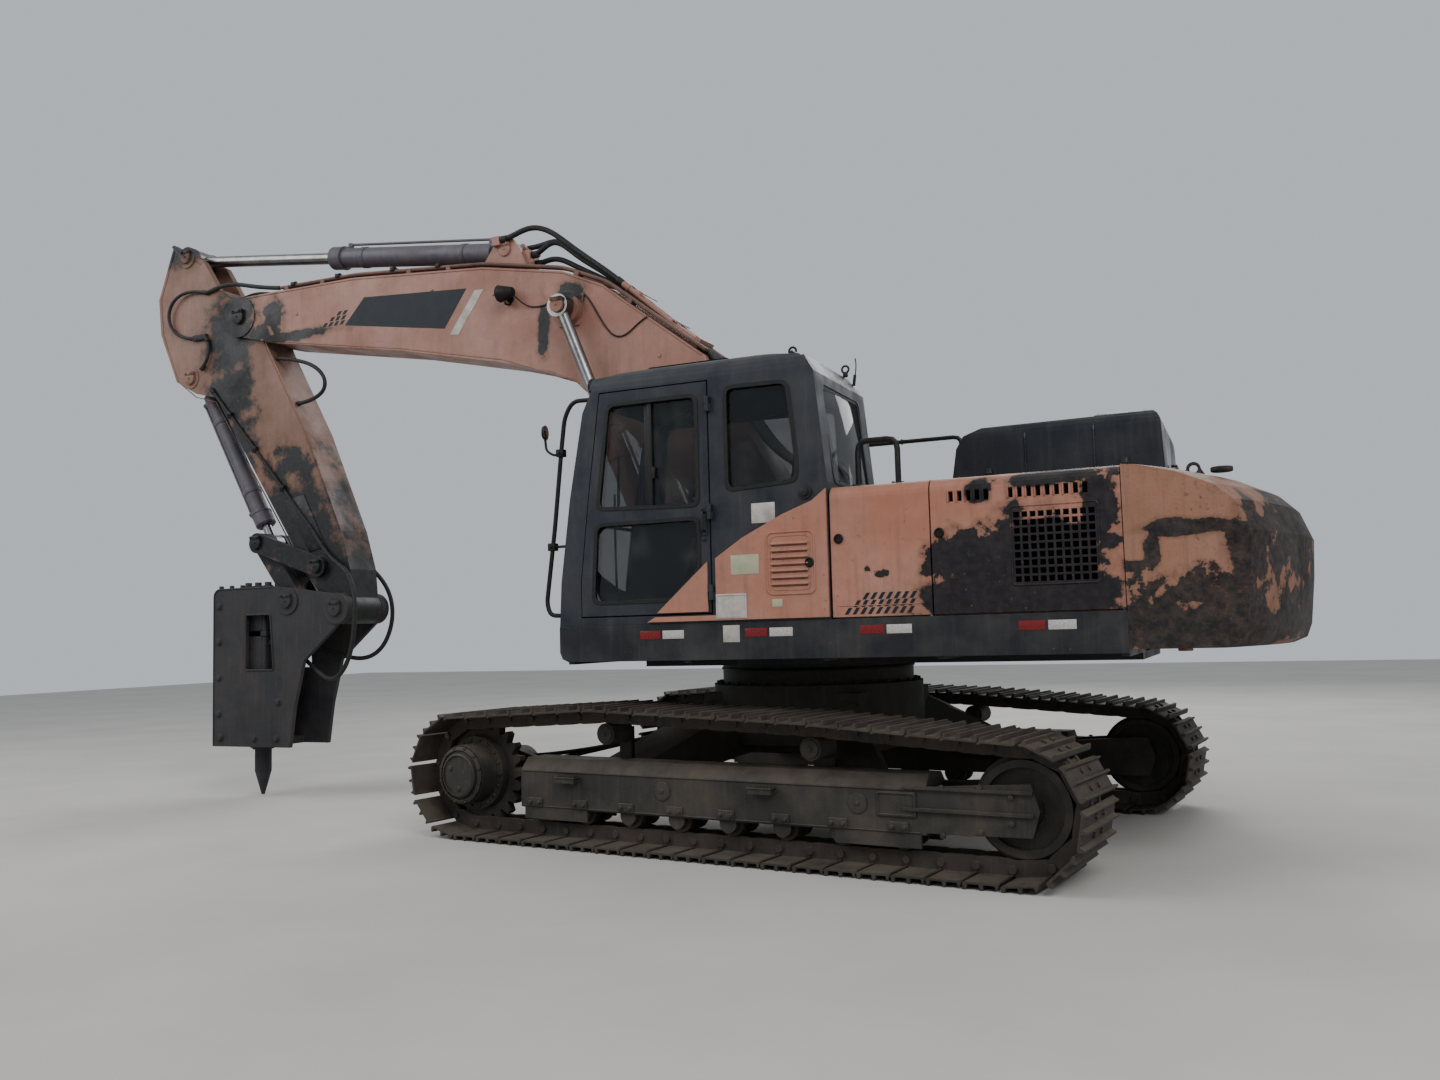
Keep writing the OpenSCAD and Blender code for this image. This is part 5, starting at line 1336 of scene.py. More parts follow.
def frontAt(z, out=0.0):
    # The cab's front face at a height, or a place in front of it
    line = ((1.33, 1.18), (1.6, 1.165), (2.11, 1.095), (2.64, 0.995), (2.79, 0.92))
    for (z0, x0), (z1, x1) in zip(line, line[1:]):
        if z <= z1:
            return x0 + (x1 - x0) * (z - z0) / (z1 - z0) + out
    return line[-1][1] + out


def onFront(out, y, z):
    return frontAt(z, out), y, z


frontSeal = {"right": 0.524, "left": 1.265, "low": 1.485, "top": 2.705, "steps": 12, "split": 1.98,
    "out": 0.002}
wiper = {"arm": ((0.02, 0.62, 1.5), (0.022, 0.72, 1.9), (0.016, 0.8, 2.2)),
    "blade": ((0.012, 0.7, 1.98), (0.012, 0.83, 2.45)), "hub": ((-0.01, 0.62, 1.5), (0.035, 0.62, 1.5))}


def addFrontSeal():
    right, left, out, split = (frontSeal[key] for key in ("right", "left", "out", "split"))
    low, top, steps = frontSeal["low"], frontSeal["top"], frontSeal["steps"]
    heights = [low + (top - low) * k / steps for k in range(steps + 1)]
    route = [onFront(out, right, z) for z in heights] + [onFront(out, left, z) for z in reversed(heights)]
    seal = addTube(cornered(route, 0.05), 0.011, False, 2, 3, close=True)
    bar = addTube([onFront(out, right, split), onFront(out, left, split)], 0.012, False, 2, 3)
    arm = addTube([onFront(*place) for place in wiper["arm"]], 0.008, True, 4, 3)
    blade = addTube([onFront(*place) for place in wiper["blade"]], 0.01, False, 2, 2)
    hub = addRod(*[onFront(*place) for place in wiper["hub"]], 0.024, 16, 0.003)
    finish("frontSealAndWiper", [seal, bar, arm, blade, hub], "house", rubberSeal)


roof = {"hatch": ((0.1, 0.66, 2.885), (0.66, 1.14, 2.925)), "ribs": (-0.35, -0.12),
    "ribLine": ((0.56, 2.897), (0.9, 2.903), (1.24, 2.885)),
    "eyes": ((-0.33, 1.17, 2.86), (-0.47, 0.62, 2.84)),
    "aerialFoot": ((-0.49, 0.52, 2.8), (-0.5, 0.52, 2.87)),
    "aerial": ((-0.5, 0.52, 2.86), (-0.515, 0.52, 2.93), (-0.505, 0.52, 2.975))}
roofLamps = {"x": 0.955, "z": 2.83, "places": (("cabLampLeft", 1.22), ("cabLampRight", 0.56)),
    "back": 0.042, "face": 0.056, "lens": 0.046}


def addRoof():
    hatch = addBlock(*roof["hatch"], 0.012, 3)
    pieces = [insetFaces(hatch, towards(z=1), 0.035, 0.006)]
    for x in roof["ribs"]:  # pressed ribs of the roof
        pieces.append(addTube([(x, y, z) for y, z in roof["ribLine"]], 0.011, True, 4, 2))
    finish("roofHatch", pieces, "house", paintCab)
    fittings = []
    for x, y, z in roof["eyes"]:  # lifting eyes
        fittings.append(uprightRod(x, y, z, z + 0.03, 0.016, 12, 0.002))
        fittings.append(addRing((x, y, z + 0.048), (0, 1, 0), 0.022, 0.007, 20, 8))
    fittings.append(addRod(*roof["aerialFoot"], 0.01, 10, 0.002))
    fittings.append(addTube(roof["aerial"], 0.004, True, 4, 2))
    finish("roofFittings", fittings, "house", steelDark)
    x, z = roofLamps["x"], roofLamps["z"]
    for name, y in roofLamps["places"]:
        back, face = roofLamps["back"], roofLamps["face"]
        lamp = addRod((x - 0.03, y, z), (x + 0.045, y, z), back, 24, 0.006, tip=face)
        insetFaces(lamp, towards(x=1), 0.008, 0.006)
        foot = addBlock((x - 0.02, y - 0.012, z - 0.075), (x + 0.01, y + 0.012, z - 0.035), 0.003)
        finish(name, [lamp, foot], "house", steelDark)
        lens = addRod((x + 0.036, y, z), (x + 0.043, y, z), roofLamps["lens"], 24, 0.002)
        finish(name + "Lens", [lens], "house", lensClear)


doorParts = {"cup": (0.16, 1.835, 0.206, 2.0), "lever": 0.183, "leverTop": 1.975, "leverLow": 1.865,
    "key": 1.815, "catch": (-0.45, 2.047), "grab": 0.245, "grabLow": 2.06, "grabTop": 2.45,
    "grabReach": 0.075}


def addDoorParts():
    y, side = cab["doorSide"], cab["side"]
    x0, z0, x1, z1 = doorParts["cup"]
    cup = addBlock((x0, y - 0.003, z0), (x1, y + 0.004, z1), 0.004)
    insetFaces(cup, towards(y=1), 0.006, 0.008)
    x, top, low = doorParts["lever"], doorParts["leverTop"], doorParts["leverLow"]
    route = [(x, y - 0.004, top), (x, y + 0.026, top), (x, y + 0.026, low), (x, y - 0.004, low)]
    lever = addBentBar(route, 0.015, 0.008)
    key = crossRod(x, doorParts["key"], y, y + 0.007, 0.011, 14, 0.001)
    finish("cabDoorHandle", [cup, lever, key], "cab_door", plasticDark)
    knobSeat = crossRod(*doorParts["catch"], side - 0.002, side + 0.012, 0.04, 24)
    knob = crossRod(*doorParts["catch"], side + 0.01, side + 0.03, 0.024, 20, 0.005)
    finish("doorCatch", [knobSeat, knob], "house", plasticDark)
    x, low, top = doorParts["grab"], doorParts["grabLow"], doorParts["grabTop"]
    near, far = y - 0.01, y - doorParts["grabReach"]
    grab = addBentBar([(x, near, low), (x, far, low), (x, far, top), (x, near, top)], 0.03, 0.011, 4)
    finish("doorGrabBar", [grab], "cab_door", plasticDark)


frontBar = {"side": 1.315, "radius": 0.014, "clamps": ((1.18, 2.415), (1.25, 1.83)),
    "clampHalf": (0.026, 0.024, 0.024), "bends": [(1.09, 2.735), (1.15, 2.64), (1.178, 2.43), (1.232, 1.96),
        (1.3, 1.48), (1.275, 1.405)], "ends": ((2.72, 2.73), (1.4, 1.4)), "brace": (1.245, 1.83),
    "stalk": ((1.178, 0.0, 2.415), (1.215, 0.02, 2.4), (1.262, 0.04, 2.43), (1.27, 0.046, 2.545)),
    "mirror": ((1.2784, 0.0508, 2.545), (1.259, 0.046, 2.545)),
    "glass": ((1.26, 0.0462, 2.545), (1.2565, 0.0454, 2.545))}


def addFrontBar():
    # Bent grab bar in front of the cab, with its clamps and the small round mirror
    y = frontBar["side"]
    (topWall, topZ), (lowWall, lowZ) = frontBar["ends"]
    route = [(frontAt(topWall, -0.012), topZ)] + frontBar["bends"] + [(frontAt(lowWall, -0.012), lowZ)]
    pieces = [addBentBar(onSide(route, y), 0.05, frontBar["radius"], 4)]
    a, b, c = frontBar["clampHalf"]
    for x, z in frontBar["clamps"]:
        pieces.append(addBlock((x - a, y - b, z - c), (x + a, y + b, z + c), 0.005))
        pieces.append(crossRod(x, z, y + 0.022, y + 0.034, 0.009, 6, 0.001))
    x, z = frontBar["brace"]
    pieces.append(addTube([(x, y, z), (frontAt(z, -0.005), y, z)], 0.009, False, 2, 3))
    stalk, mirror, glass = ([(x, y + out, z) for x, out, z in frontBar[key]]
                            for key in ("stalk", "mirror", "glass"))
    pieces.append(addBentBar(stalk, 0.03, 0.008))
    pieces.append(addRod(*mirror, 0.04, 28, 0.006, tip=0.05))
    mirrorBar = finish("grabBarAndMirror", pieces, "house", steelDark)
    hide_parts("side_mirror")
    face = addRod(*glass, 0.045, 28, 0.001)
    finish("roundMirrorGlass", [face], "house", mirrorGlass)


def inflateCloth(pad, reach, voxel=0.01, pressure=4.0, frames=20):
    # The cover swells under its filling, and no point moves further than reach
    focus(pad)
    pad.data.remesh_voxel_size = voxel
    bpy.ops.object.voxel_remesh()
    before = [vertex.co.copy() for vertex in pad.data.vertices]
    cover = pad.modifiers.new("Cloth", "CLOTH")
    cover.settings.use_pressure = True
    cover.settings.uniform_pressure_force = pressure
    cover.settings.effector_weights.gravity = 0.0
    cover.point_cache.frame_end = frames
    for frameNumber in range(1, frames + 1):
        bpy.context.scene.frame_set(frameNumber)
    focus(pad)
    bpy.ops.object.modifier_apply(modifier=cover.name)
    for vertex, place in zip(pad.data.vertices, before):
        move = vertex.co - place
        vertex.co = place + move * min(1.0, reach / max(move.length, 1e-6))
    bpy.context.scene.frame_set(1)


def addCushion(low, high, crown, seams=(), reach=0.0):
    # A stuffed block: its sides swell, its corners pull in, its seams are drawn in last
    deselectAll()
    centre = [(a + b) / 2 for a, b in zip(low, high)]
    half = [(b - a) / 2 - reach for a, b in zip(low, high)]
    bpy.ops.mesh.primitive_cube_add(size=2, location=(0, 0, 0))
    pad = bpy.context.object
    editAll()
    bpy.ops.mesh.subdivide(number_cuts=7)
    endEdit()
    for vertex in pad.data.vertices:
        p = vertex.co.copy()
        swell = [1 - abs(c) ** 2.4 for c in p]
        for i in range(3):
            vertex.co[i] = p[i] * (half[i] - crown + crown * swell[(i + 1) % 3] * swell[(i + 2) % 3])
    if reach:
        inflateCloth(pad, reach)
    else:
        applyModifier(pad, "SUBSURF", levels=1, render_levels=1)
    thin = half.index(min(half))
    for vertex in pad.data.vertices:
        for place, axis, depth in seams:
            if abs(vertex.co[thin]) > half[thin] * 0.4:
                near = math.exp(-((vertex.co[axis] - place) / 0.014) ** 2)
                vertex.co[thin] -= math.copysign(depth * near, vertex.co[thin])
    pad.data.transform(Matrix.Translation(centre))
    applyModifier(pad, "SUBSURF", levels=1, render_levels=1)
    return pad


def finishPad(name, cushion):
    pad = finish(name, [cushion], "house", clothSeat, 80)


seat = {"hinge": (0, 0, 1.76), "back": -0.215, "lean": -9.5, "seamDepth": 0.01,
    "pad": ((-0.26, 0.65, 1.665), (0.235, 1.11, 1.8)), "padSeams": (-0.11, 0.11),
    "rest": ((-0.065, 0.66, 1.76), (0.065, 1.1, 2.36)), "restSeams": (-0.1, 0.1),
    "head": ((-0.055, 0.755, 2.42), (0.055, 1.005, 2.62)), "posts": (0.84, 0.92), "bellows": 5,
    "foldLow": (-0.3, 0.68, 1.4), "foldTop": (0.16, 1.08, 1.434), "foldPitch": 0.036,
    "pan": ((-0.27, 0.665, 1.58), (0.21, 1.095, 1.668)), "shell": ((-0.3, 0.67, 1.7), (-0.27, 1.09, 2.34))}


def addSeat():
    padSeams = [(y, 1, seat["seamDepth"]) for y in seat["padSeams"]]
    finishPad("seatCushion", addCushion(*seat["pad"], 0.024, padSeams, 0.012))
    lean = Matrix.Translation((seat["back"], 0, 0)) @ turnedAbout(seat["hinge"], seat["lean"])
    restSeams = [(y, 1, seat["seamDepth"]) for y in seat["restSeams"]]
    back = addCushion(*seat["rest"], 0.022, restSeams, 0.012)
    back.data.transform(lean)
    finishPad("seatBack", back)
    head = addCushion(*seat["head"], 0.022, (), 0.008)
    head.data.transform(lean)
    finishPad("headrest", head)
    pieces = [uprightRod(0.0, y, 2.33, 2.46, 0.008, 10, 0.001) for y in seat["posts"]]
    for post in pieces:
        post.data.transform(lean)
    (x0, y0, z0), (x1, y1, z1) = seat["foldLow"], seat["foldTop"]
    for k in range(seat["bellows"]):  # bellows of the suspension
        fold, rise = 0.012 * (k % 2), seat["foldPitch"] * k
        pieces.append(addBlock((x0 + fold, y0 + fold, z0 + rise), (x1 - fold, y1 - fold, z1 + rise), 0.01, 3))
    pieces.append(addBlock(*seat["pan"], 0.014, 3))
    shell = addBlock(*seat["shell"], 0.012, 3)
    shell.data.transform(lean @ Matrix.Translation((-seat["back"], 0, 0)))
    base = finish("seatBase", pieces + [shell], "house", plasticDark)
    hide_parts("cab_seat")


consoles = {"sides": ((0.51, 0.63), (1.13, 1.25)), "x": (-0.34, 0.42), "z": (1.4, 1.9), "post": -0.16,
    "restX": (-0.3, 0.1), "restZ": (1.95, 2.005)}
levers = {"sticks": (0.57, 1.19), "stick": ((0.31, 1.95), (0.325, 2.0), (0.335, 2.05)),
    "travel": (0.8, 0.95), "pedalPlace": (0.8, 0, 1.44), "pedalLean": -24, "ribs": 5, "ribPitch": 0.036}


def addPedals(y):
    # A travel lever with its ribbed pedal
    line = [(0.78, y, 1.4), (0.8, y, 1.62), (0.76, y, 1.9), (0.73, y + 0.012, 2.02)]
    pieces = [addTube(line, 0.012, True, 6, 3),
              addCushion((0.705, y - 0.016, 1.98), (0.755, y + 0.03, 2.1), 0.008)]
    plates = [addBlock((0.7, y - 0.055, 1.435), (0.9, y + 0.055, 1.45), 0.006)]
    for k in range(levers["ribs"]):
        x = levers["ribPitch"] * k
        plates.append(addBlock((0.72 + x, y - 0.05, 1.449), (0.73 + x, y + 0.05, 1.455), 0))
    for plate in plates:
        plate.data.transform(turnedAbout(levers["pedalPlace"], levers["pedalLean"]))
    return pieces + plates


def addCabInside():
    pieces = []
    (x0, x1), (z0, z1) = consoles["x"], consoles["z"]
    (rest0, rest1), (low, top), post = consoles["restX"], consoles["restZ"], consoles["post"]
    for y0, y1 in consoles["sides"]:  # consoles beside the seat
        pieces.append(addBlock((x0, y0, z0), (x1, y1, z1), 0.03, 4))
        pieces.append(addBlock((rest0, y0 + 0.01, low), (rest1, y1 - 0.01, top), 0.022, 4))
        pieces.append(uprightRod(post, (y0 + y1) / 2, 1.88, 1.97, 0.022, 14))
    finish("cabConsoles", pieces, "house", plasticGrey)
    sticks = []
    for y in levers["sticks"]:
        sticks.append(addRod((0.3, y, 1.89), (0.31, y, 1.96), 0.045, 20, 0.006, tip=0.018))
        sticks.append(addTube(onSide(levers["stick"], y), 0.009, True, 4, 3))
        sticks.append(addCushion((0.305, y - 0.024, 2.04), (0.365, y + 0.024, 2.15), 0.01))
    for y in levers["travel"]:
        sticks += addPedals(y)
    finish("cabLevers", sticks, "house", plasticDark)
    screen = addBlock((0.905, 0.515, 1.9), (0.945, 0.7, 2.05), 0.012, 3)
    insetFaces(screen, towards(x=-1), 0.014, 0.004)
    stand = addTube([(0.93, 0.6, 1.9), (0.97, 0.58, 1.75), (1.0, 0.54, 1.6)], 0.012, True, 4, 3)
    finish("cabMonitor", [screen, stand], "house", plasticDark)
    mat = addBlock((0.26, 0.5, 1.3805), (1.02, 1.26, 1.39), 0.004)
    ribs = [addBead([(0.3 + 0.06 * k, 0.53, 1.391), (0.3 + 0.06 * k, 1.23, 1.391)], 0.004) for k in range(12)]
    rearTrim = addBlock((-0.525, 0.49, 1.4), (-0.46, 1.3, 2.02), 0.02, 3)
    finish("cabFloorMat", [mat, rearTrim] + ribs, "house", rubberSeal)
    lining = addBlock((-0.42, 0.5, 2.775), (0.82, 1.28, 2.79), 0.006)
    visor = addBlock((0.62, 0.6, 2.7), (0.86, 1.18, 2.712), 0.005)
    visor.data.transform(turnedAbout((0.74, 0, 2.706), 18))
    finish("cabLining", [lining, visor], "house", plasticGrey)


addCabFrames()
addTornFilm()
addRearPane()
addFrontSeal()
addRoof()
addDoorParts()
addFrontBar()
addSeat()
addCabInside()
print("cab done")

# Boom: lamp, decal band, hoses over its back, clamps, pins, cylinder fittings

boom = {"half": 0.19, "nose": (5.095, 4.079), "cylinderPin": (1.79, 3.68),
    "top": ((0.72, 3.23), (1.1, 3.52), (1.51, 3.84), (1.85, 3.99), (2.57, 4.13), (3.85, 4.24),
        (5.08, 4.25))}


def addPinEnd(x, z, y0, radius, reach=0.022):
    # A pin's head with its retaining plate and two bolts, on the left; y0 is where it stands
    face, boltZ = y0 + reach, z + radius * 0.8
    head = crossRod(x, z, y0 - 0.01, face, radius, 28, 0.004)
    keeper = addBlock((x - radius * 0.9, y0 - 0.002, z + radius * 0.55),
                      (x + radius * 0.9, face + 0.008, z + radius * 1.05), 0.003)
    bolts = [crossRod(x + side * radius * 0.6, boltZ, face + 0.004, face + 0.018, 0.01, 6, 0.001)
             for side in (-1, 1)]
    return [head, keeper] + bolts + [crossRod(x, z, face, face + 0.01, 0.007, 8, 0.002)]


def bothSides(pieces):
    left = joinPieces(pieces)
    return [left, mirrored(left)]


lamp = {"place": (2.31, 0.265, 3.87), "back": 0.034, "face": 0.066, "glass": 0.056, "foot": (0.188, 0.206)}
# The wire's way down the boom's side in X and Z
wireRoute = ((2.16, 3.755), (2.06, 3.745), (1.98, 3.75), (1.9, 3.8), (1.82, 3.79), (1.72, 3.815),
    (1.65, 3.79), (1.58, 3.68), (1.52, 3.57), (1.44, 3.45), (1.36, 3.42), (1.28, 3.45), (1.2, 3.52),
    (1.14, 3.545))


def addLamp():
    x, y, z = lamp["place"]
    shade = addRod((x - 0.075, y, z), (x + 0.05, y, z), lamp["back"], 28, 0.008, tip=lamp["face"])
    insetFaces(shade, towards(x=1), 0.008, 0.008)
    bow = [(x, y - 0.072, z + 0.03), (x, y - 0.072, z - 0.075), (x, y, z - 0.085), (x, y, z - 0.06)]
    strap = addBentBar(bow, 0.02, 0.008)
    foot = crossRod(x, z - 0.03, *lamp["foot"], 0.03, 16)
    whole = finish("boomLamp", [shade, strap, foot], "boom", steelDark)
    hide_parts("boom_lamp")
    lens = addRod((x + 0.038, y, z), (x + 0.045, y, z), lamp["glass"], 28, 0.002)
    finish("boomLampLens", [lens], "boom", lensClear)
    wire = [(x - 0.06, y, z - 0.01), (x - 0.1, y - 0.03, z - 0.06)] + onSide(wireRoute, boom["half"] + 0.006)
    finish("lampWire", [addTube(wire, 0.006, True, 5, 3)], "boom", rubberHose)


band = {"outline": [(3.93, 3.855), (3.73, 4.06), (2.72, 3.985), (2.93, 3.695)], "rows": 3, "longest": 4,
    "start": (4.17, 3.868), "pitch": 0.06, "rowShift": 0.075, "rowPitch": 0.04, "width": 0.034,
    "lean": 0.026, "height": 0.032, "slash": [(2.88, 3.64), (2.64, 3.96), (2.56, 3.955), (2.8, 3.63)]}


def addBand():
    # A plain dark band with a pale slash and small squares; no lettering
    y = boom["half"]
    x0, z0 = band["start"]
    decals = [addDecal(band["outline"], y)]
    for row in range(band["rows"]):
        for column in range(band["longest"] - row):
            x, z = x0 - column * band["pitch"] - row * band["rowShift"], z0 + row * band["rowPitch"]
            decals.append(addDecal(slanted(x, z, band["width"], band["lean"], band["height"]), y))
    twins = [mirrored(piece) for piece in decals]
    finish("boomBand", decals + twins, "boom", decalDark)
    slash = addDecal(band["slash"], y)
    finish("boomSlash", [slash, mirrored(slash)], "boom", plateWhite)


# Hoses over the boom's back: the outer two as whole routes, the inner two by their place across
# the boom and a line in X and Z
backHoses = {"seam": 1.38, "radius": 0.021, "tube": 0.02, "nut": 0.027,
    "end": ((0.931, 3.448), (0.8125, 3.3575)), "clampHalf": 0.112,
    "clamps": (((1.245, 3.745), (1.21, 3.715)), ((0.985, 3.505), (0.95, 3.478))),
    "outer": (((2.4397, 0.123, 4.345), (2.37, 0.123, 4.345), (2.28, 0.12, 4.378), (2.18, 0.112, 4.402),
        (2.08, 0.105, 4.385), (1.97, 0.098, 4.325), (1.85, 0.092, 4.222), (1.7, 0.088, 4.1),
        (1.5, 0.084, 3.95), (1.33, 0.084, 3.8), (1.16, 0.084, 3.65)),
        ((2.4397, -0.123, 4.335), (2.36, -0.123, 4.335), (2.26, -0.12, 4.33), (2.16, -0.112, 4.345),
        (2.06, -0.105, 4.345), (1.96, -0.098, 4.29), (1.85, -0.092, 4.195), (1.7, -0.088, 4.08),
        (1.5, -0.084, 3.93), (1.33, -0.084, 3.785), (1.16, -0.084, 3.64))),
    "inner": ((0.028, ((2.2147, 4.215), (2.17, 4.215), (2.11, 4.255), (2.04, 4.29), (1.96, 4.27),
        (1.88, 4.205), (1.77, 4.11), (1.62, 4.01), (1.46, 3.89), (1.3, 3.75), (1.15, 3.625))),
        (-0.028, ((2.2147, 4.16), (2.17, 4.16), (2.09, 4.18), (2.0, 4.168), (1.9, 4.112), (1.78, 4.04),
        (1.64, 3.965), (1.48, 3.865), (1.31, 3.74), (1.15, 3.62))))}


def addBoomHoses():
    # Four hoses arch from their blocks back to a seam; from there painted tubes lie on the boom's back
    routes = list(backHoses["outer"]) + [onSide(line, y) for y, line in backHoses["inner"]]
    rubber, painted = [], []
    seamX, nut = backHoses["seam"], backHoses["nut"]
    for route in routes:
        places = [Vector(p) for p in route]
        split = next(i for i, p in enumerate(places) if p.x < seamX)
        a, b = places[split - 1], places[split]
        seam = a + (b - a) * ((a.x - seamX) / (a.x - b.x))
        run = (b - a).normalized()
        rubber.append(addTube(places[:split] + [seam], backHoses["radius"], True, 6, 4))
        tail = [seam] + places[split:] + [Vector(p) for p in onSide(backHoses["end"], route[-1][1])]
        painted.append(addBentBar(tail, 0.05, backHoses["tube"], 4))
        painted.append(addRod(seam - run * 0.01, seam + run * 0.06, nut, 14))
        rubber.append(addRod(seam - run * 0.075, seam - run * 0.008, 0.026, 14))
        rubber.append(addRod(places[0] + Vector((0.004, 0, 0)), places[0] - Vector((0.06, 0, 0)), nut, 14))
    half = backHoses["clampHalf"]
    for (x0, z0), (x1, z1) in backHoses["clamps"]:  # flat clamps over the tubes
        outline = [(x0, z0 + 0.02), (x1, z1 + 0.02), (x1 - 0.004, z1 + 0.026), (x0 - 0.004, z0 + 0.026)]
        painted.append(addPlate(outline, "y", -half, half, 0.001))
    for group, mat in ((rubber, rubberHose), (painted, paintBoom)):
        for piece in group:
            piece.data.materials.append(mat)
    hoses = finish("boomHoses", rubber + painted, "boom", None)
    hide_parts("boom_hoses")


def crossHose(name, hose, bodies, start, end):
    # A hose between two bodies; bodies, start and end are not used
    hose.name = name
    focus(hose)
    bpy.ops.object.shade_smooth_by_angle(angle=0.6)
    hose.data.materials.append(rubberHose)
    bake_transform(hose)


footHoses = {"count": 6, "radius": 0.0165, "low": (-0.14, 0.056), "high": (-0.09, 0.036),
    "start": (-0.35, 0, 1.55), "end": (0.2, 0, 2.55)}


def addFootHoses():
    # From the turning frame to the block on the boom's back
    pieces = []
    for k in range(footHoses["count"]):
        low, high = (first + step * k for first, step in (footHoses["low"], footHoses["high"]))
        route = [(-0.45, low, 1.36), (-0.45, low, 1.62), (-0.4, low, 1.95), (-0.2, low, 2.22),
                 (0.02, low, 2.36), (0.22, low, 2.5), (0.36, low * 0.9, 2.68), (0.46, (low + high) / 2, 2.86),
                 (0.58, high, 3.055), (0.68, high, 3.215), (0.73, high, 3.28), (0.78, high, 3.3185)]
        pieces.append(addTube(route, footHoses["radius"], True, 5, 3))
    crossHose("footHoses", joinPieces(pieces), ("house", "boom"), footHoses["start"], footHoses["end"])


boomTrim = {"pins": ((boom["nose"], 0.202, 0.062), (boom["cylinderPin"], 0.362, 0.055)),
    "lowSeam": ((0.3, 1.8), (1.76, 3.17), (2.4, 3.4), (3.34, 3.6), (4.72, 3.835)), "seamSide": 0.1905,
    "collar": [(1.7, 3.56), (1.88, 3.56), (1.93, 3.76), (1.8, 3.85), (1.66, 3.79)],
    "plugs": ((2.47, 3.9), (3.05, 4.02)), "caps": ((1.05, 3.25), (4.45, 4.02)),
    "clamps": ((3.0, 4.204), (3.45, 4.243), (4.02, 4.277), (4.5, 4.279))}


def addBoomTrim():
    pieces = []
    for (x, z), y0, radius in boomTrim["pins"]:
        pieces += addPinEnd(x, z, y0, radius)
    for line, drop in ((boomTrim["lowSeam"], 0.012), (boom["top"], 0.014)):  # weld beads
        pieces.append(addBead([(x, boomTrim["seamSide"], z - drop) for x, z in line]))
    pieces.append(addPlate(boomTrim["collar"], "y", 0.189, 0.204, 0.004))
    pieces += [crossRod(x, z, 0.188, 0.198, 0.01, 8, 0.001) for x, z in boomTrim["plugs"]]
    pieces += [crossRod(x, z, 0.188, 0.196, 0.014, 8, 0.002) for x, z in boomTrim["caps"]]
    finish("boomTrim", bothSides(pieces), "boom", paintBoom)
    clamps = []
    for x, z in boomTrim["clamps"]:
        for y0, y1 in ((-0.19, -0.105), (0.105, 0.19)):
            clamps.append(addBlock((x - 0.022, y0, z - 0.008), (x + 0.022, y1, z + 0.026), 0.006))
        for y in (-0.147, 0.147):
            clamps.append(uprightRod(x, y, z + 0.022, z + 0.038, 0.01, 6, 0.001))
    finish("pipeClamps", clamps, "boom", steelDark)


def alongLine(a, b):
    # Places along a line in X and Z, beside it and across the machine
    d = Vector((b[0] - a[0], 0, b[1] - a[1])).normalized()
    return lambda t, side=0.0, y=0.0: (a[0] + d.x * t - d.z * side, y, a[1] + d.z * t + d.x * side)


def cylinderParts(a, b, radius, length, y=0.0):
    # Gland, port blocks, line and straps of a cylinder from its foot towards its rod
    at = alongLine(a, b)
    pieces = []
    for t, r, wide in ((length - 0.118, radius + 0.018, 0.014), (length - 0.004, radius + 0.008, 0.012)):
        pieces.append(addRod(at(t, 0, y), at(t + wide, 0, y), r, 32))
    for t in (length - 0.36, 0.42):
        strap = addRod(at(t, 0, y), at(t + 0.05, 0, y), radius + 0.006, 32)
        pieces.append(boreThrough(strap, Vector(at(1, 0, y)) - Vector(at(0, 0, y)), 0.007))
    for side, out in around(8, (radius + 0.002) * 0.86):
        pieces.append(addRod(at(length, side, y + out), at(length + 0.012, side, y + out), 0.01, 6, 0.001))
    first, last = 0.2, length - 0.16
    for t in (first, last):
        pieces.append(addRod(at(t, radius - 0.01, y), at(t, radius + 0.04, y), 0.026, 12, 0.004))
    line = [at(first, radius + 0.034, y), at(first + 0.06, radius + 0.034, y),
            at(last - 0.06, radius + 0.03, y), at(last, radius + 0.03, y)]
    return pieces + [addBentBar(line, 0.03, 0.011, 4)]


# Foot pin, rod pin, barrel radius and barrel length of each cylinder
cylinders = {"boom": ((0.86, 1.39), boom["cylinderPin"], 0.078, 1.56), "boomSides": (0.32, -0.32),
    "arm": ((2.42, 4.27), (5.76, 4.72), 0.082, 1.8), "tool": ((5.7, 3.62), (4.88, 2.12), 0.07, 1.51)}


def addCylinderTrim():
    pieces = []
    for y in cylinders["boomSides"]:
        pieces += cylinderParts(*cylinders["boom"], y)
    finish("boomCylinderFittings", pieces, "boom_tubes", paintBoom)
    finish("armCylinderFittings", cylinderParts(*cylinders["arm"]), "arm_tube", paintTube)
    finish("toolCylinderFittings", cylinderParts(*cylinders["tool"]), "tool_tube", paintTube)


addLamp()
addBand()
addBoomHoses()
addFootHoses()
addBoomTrim()
addCylinderTrim()
print("boom done")

# Arm and breaker

arm = {"side": 0.155, "pins": ((5.7, 3.62, 0.163, 0.055), (4.23, 1.893, 0.203, 0.052),
        (5.76, 4.72, 0.163, 0.055)), "rear": ((4.03, 2.2), (4.395, 3.02), (4.83, 3.79), (4.98, 4.13)),
    "front": ((4.36, 1.82), (5.4, 3.38), (5.64, 3.45), (5.86, 3.61), (6.05, 4.06), (6.08, 4.38),
        (5.92, 4.8)), "patch": [(4.16, 2.05), (4.34, 2.02), (4.62, 2.46), (4.4, 2.5)],
    "cap": [(5.56, 4.655), (5.6, 4.625), (5.958, 4.842), (5.935, 4.862)]}


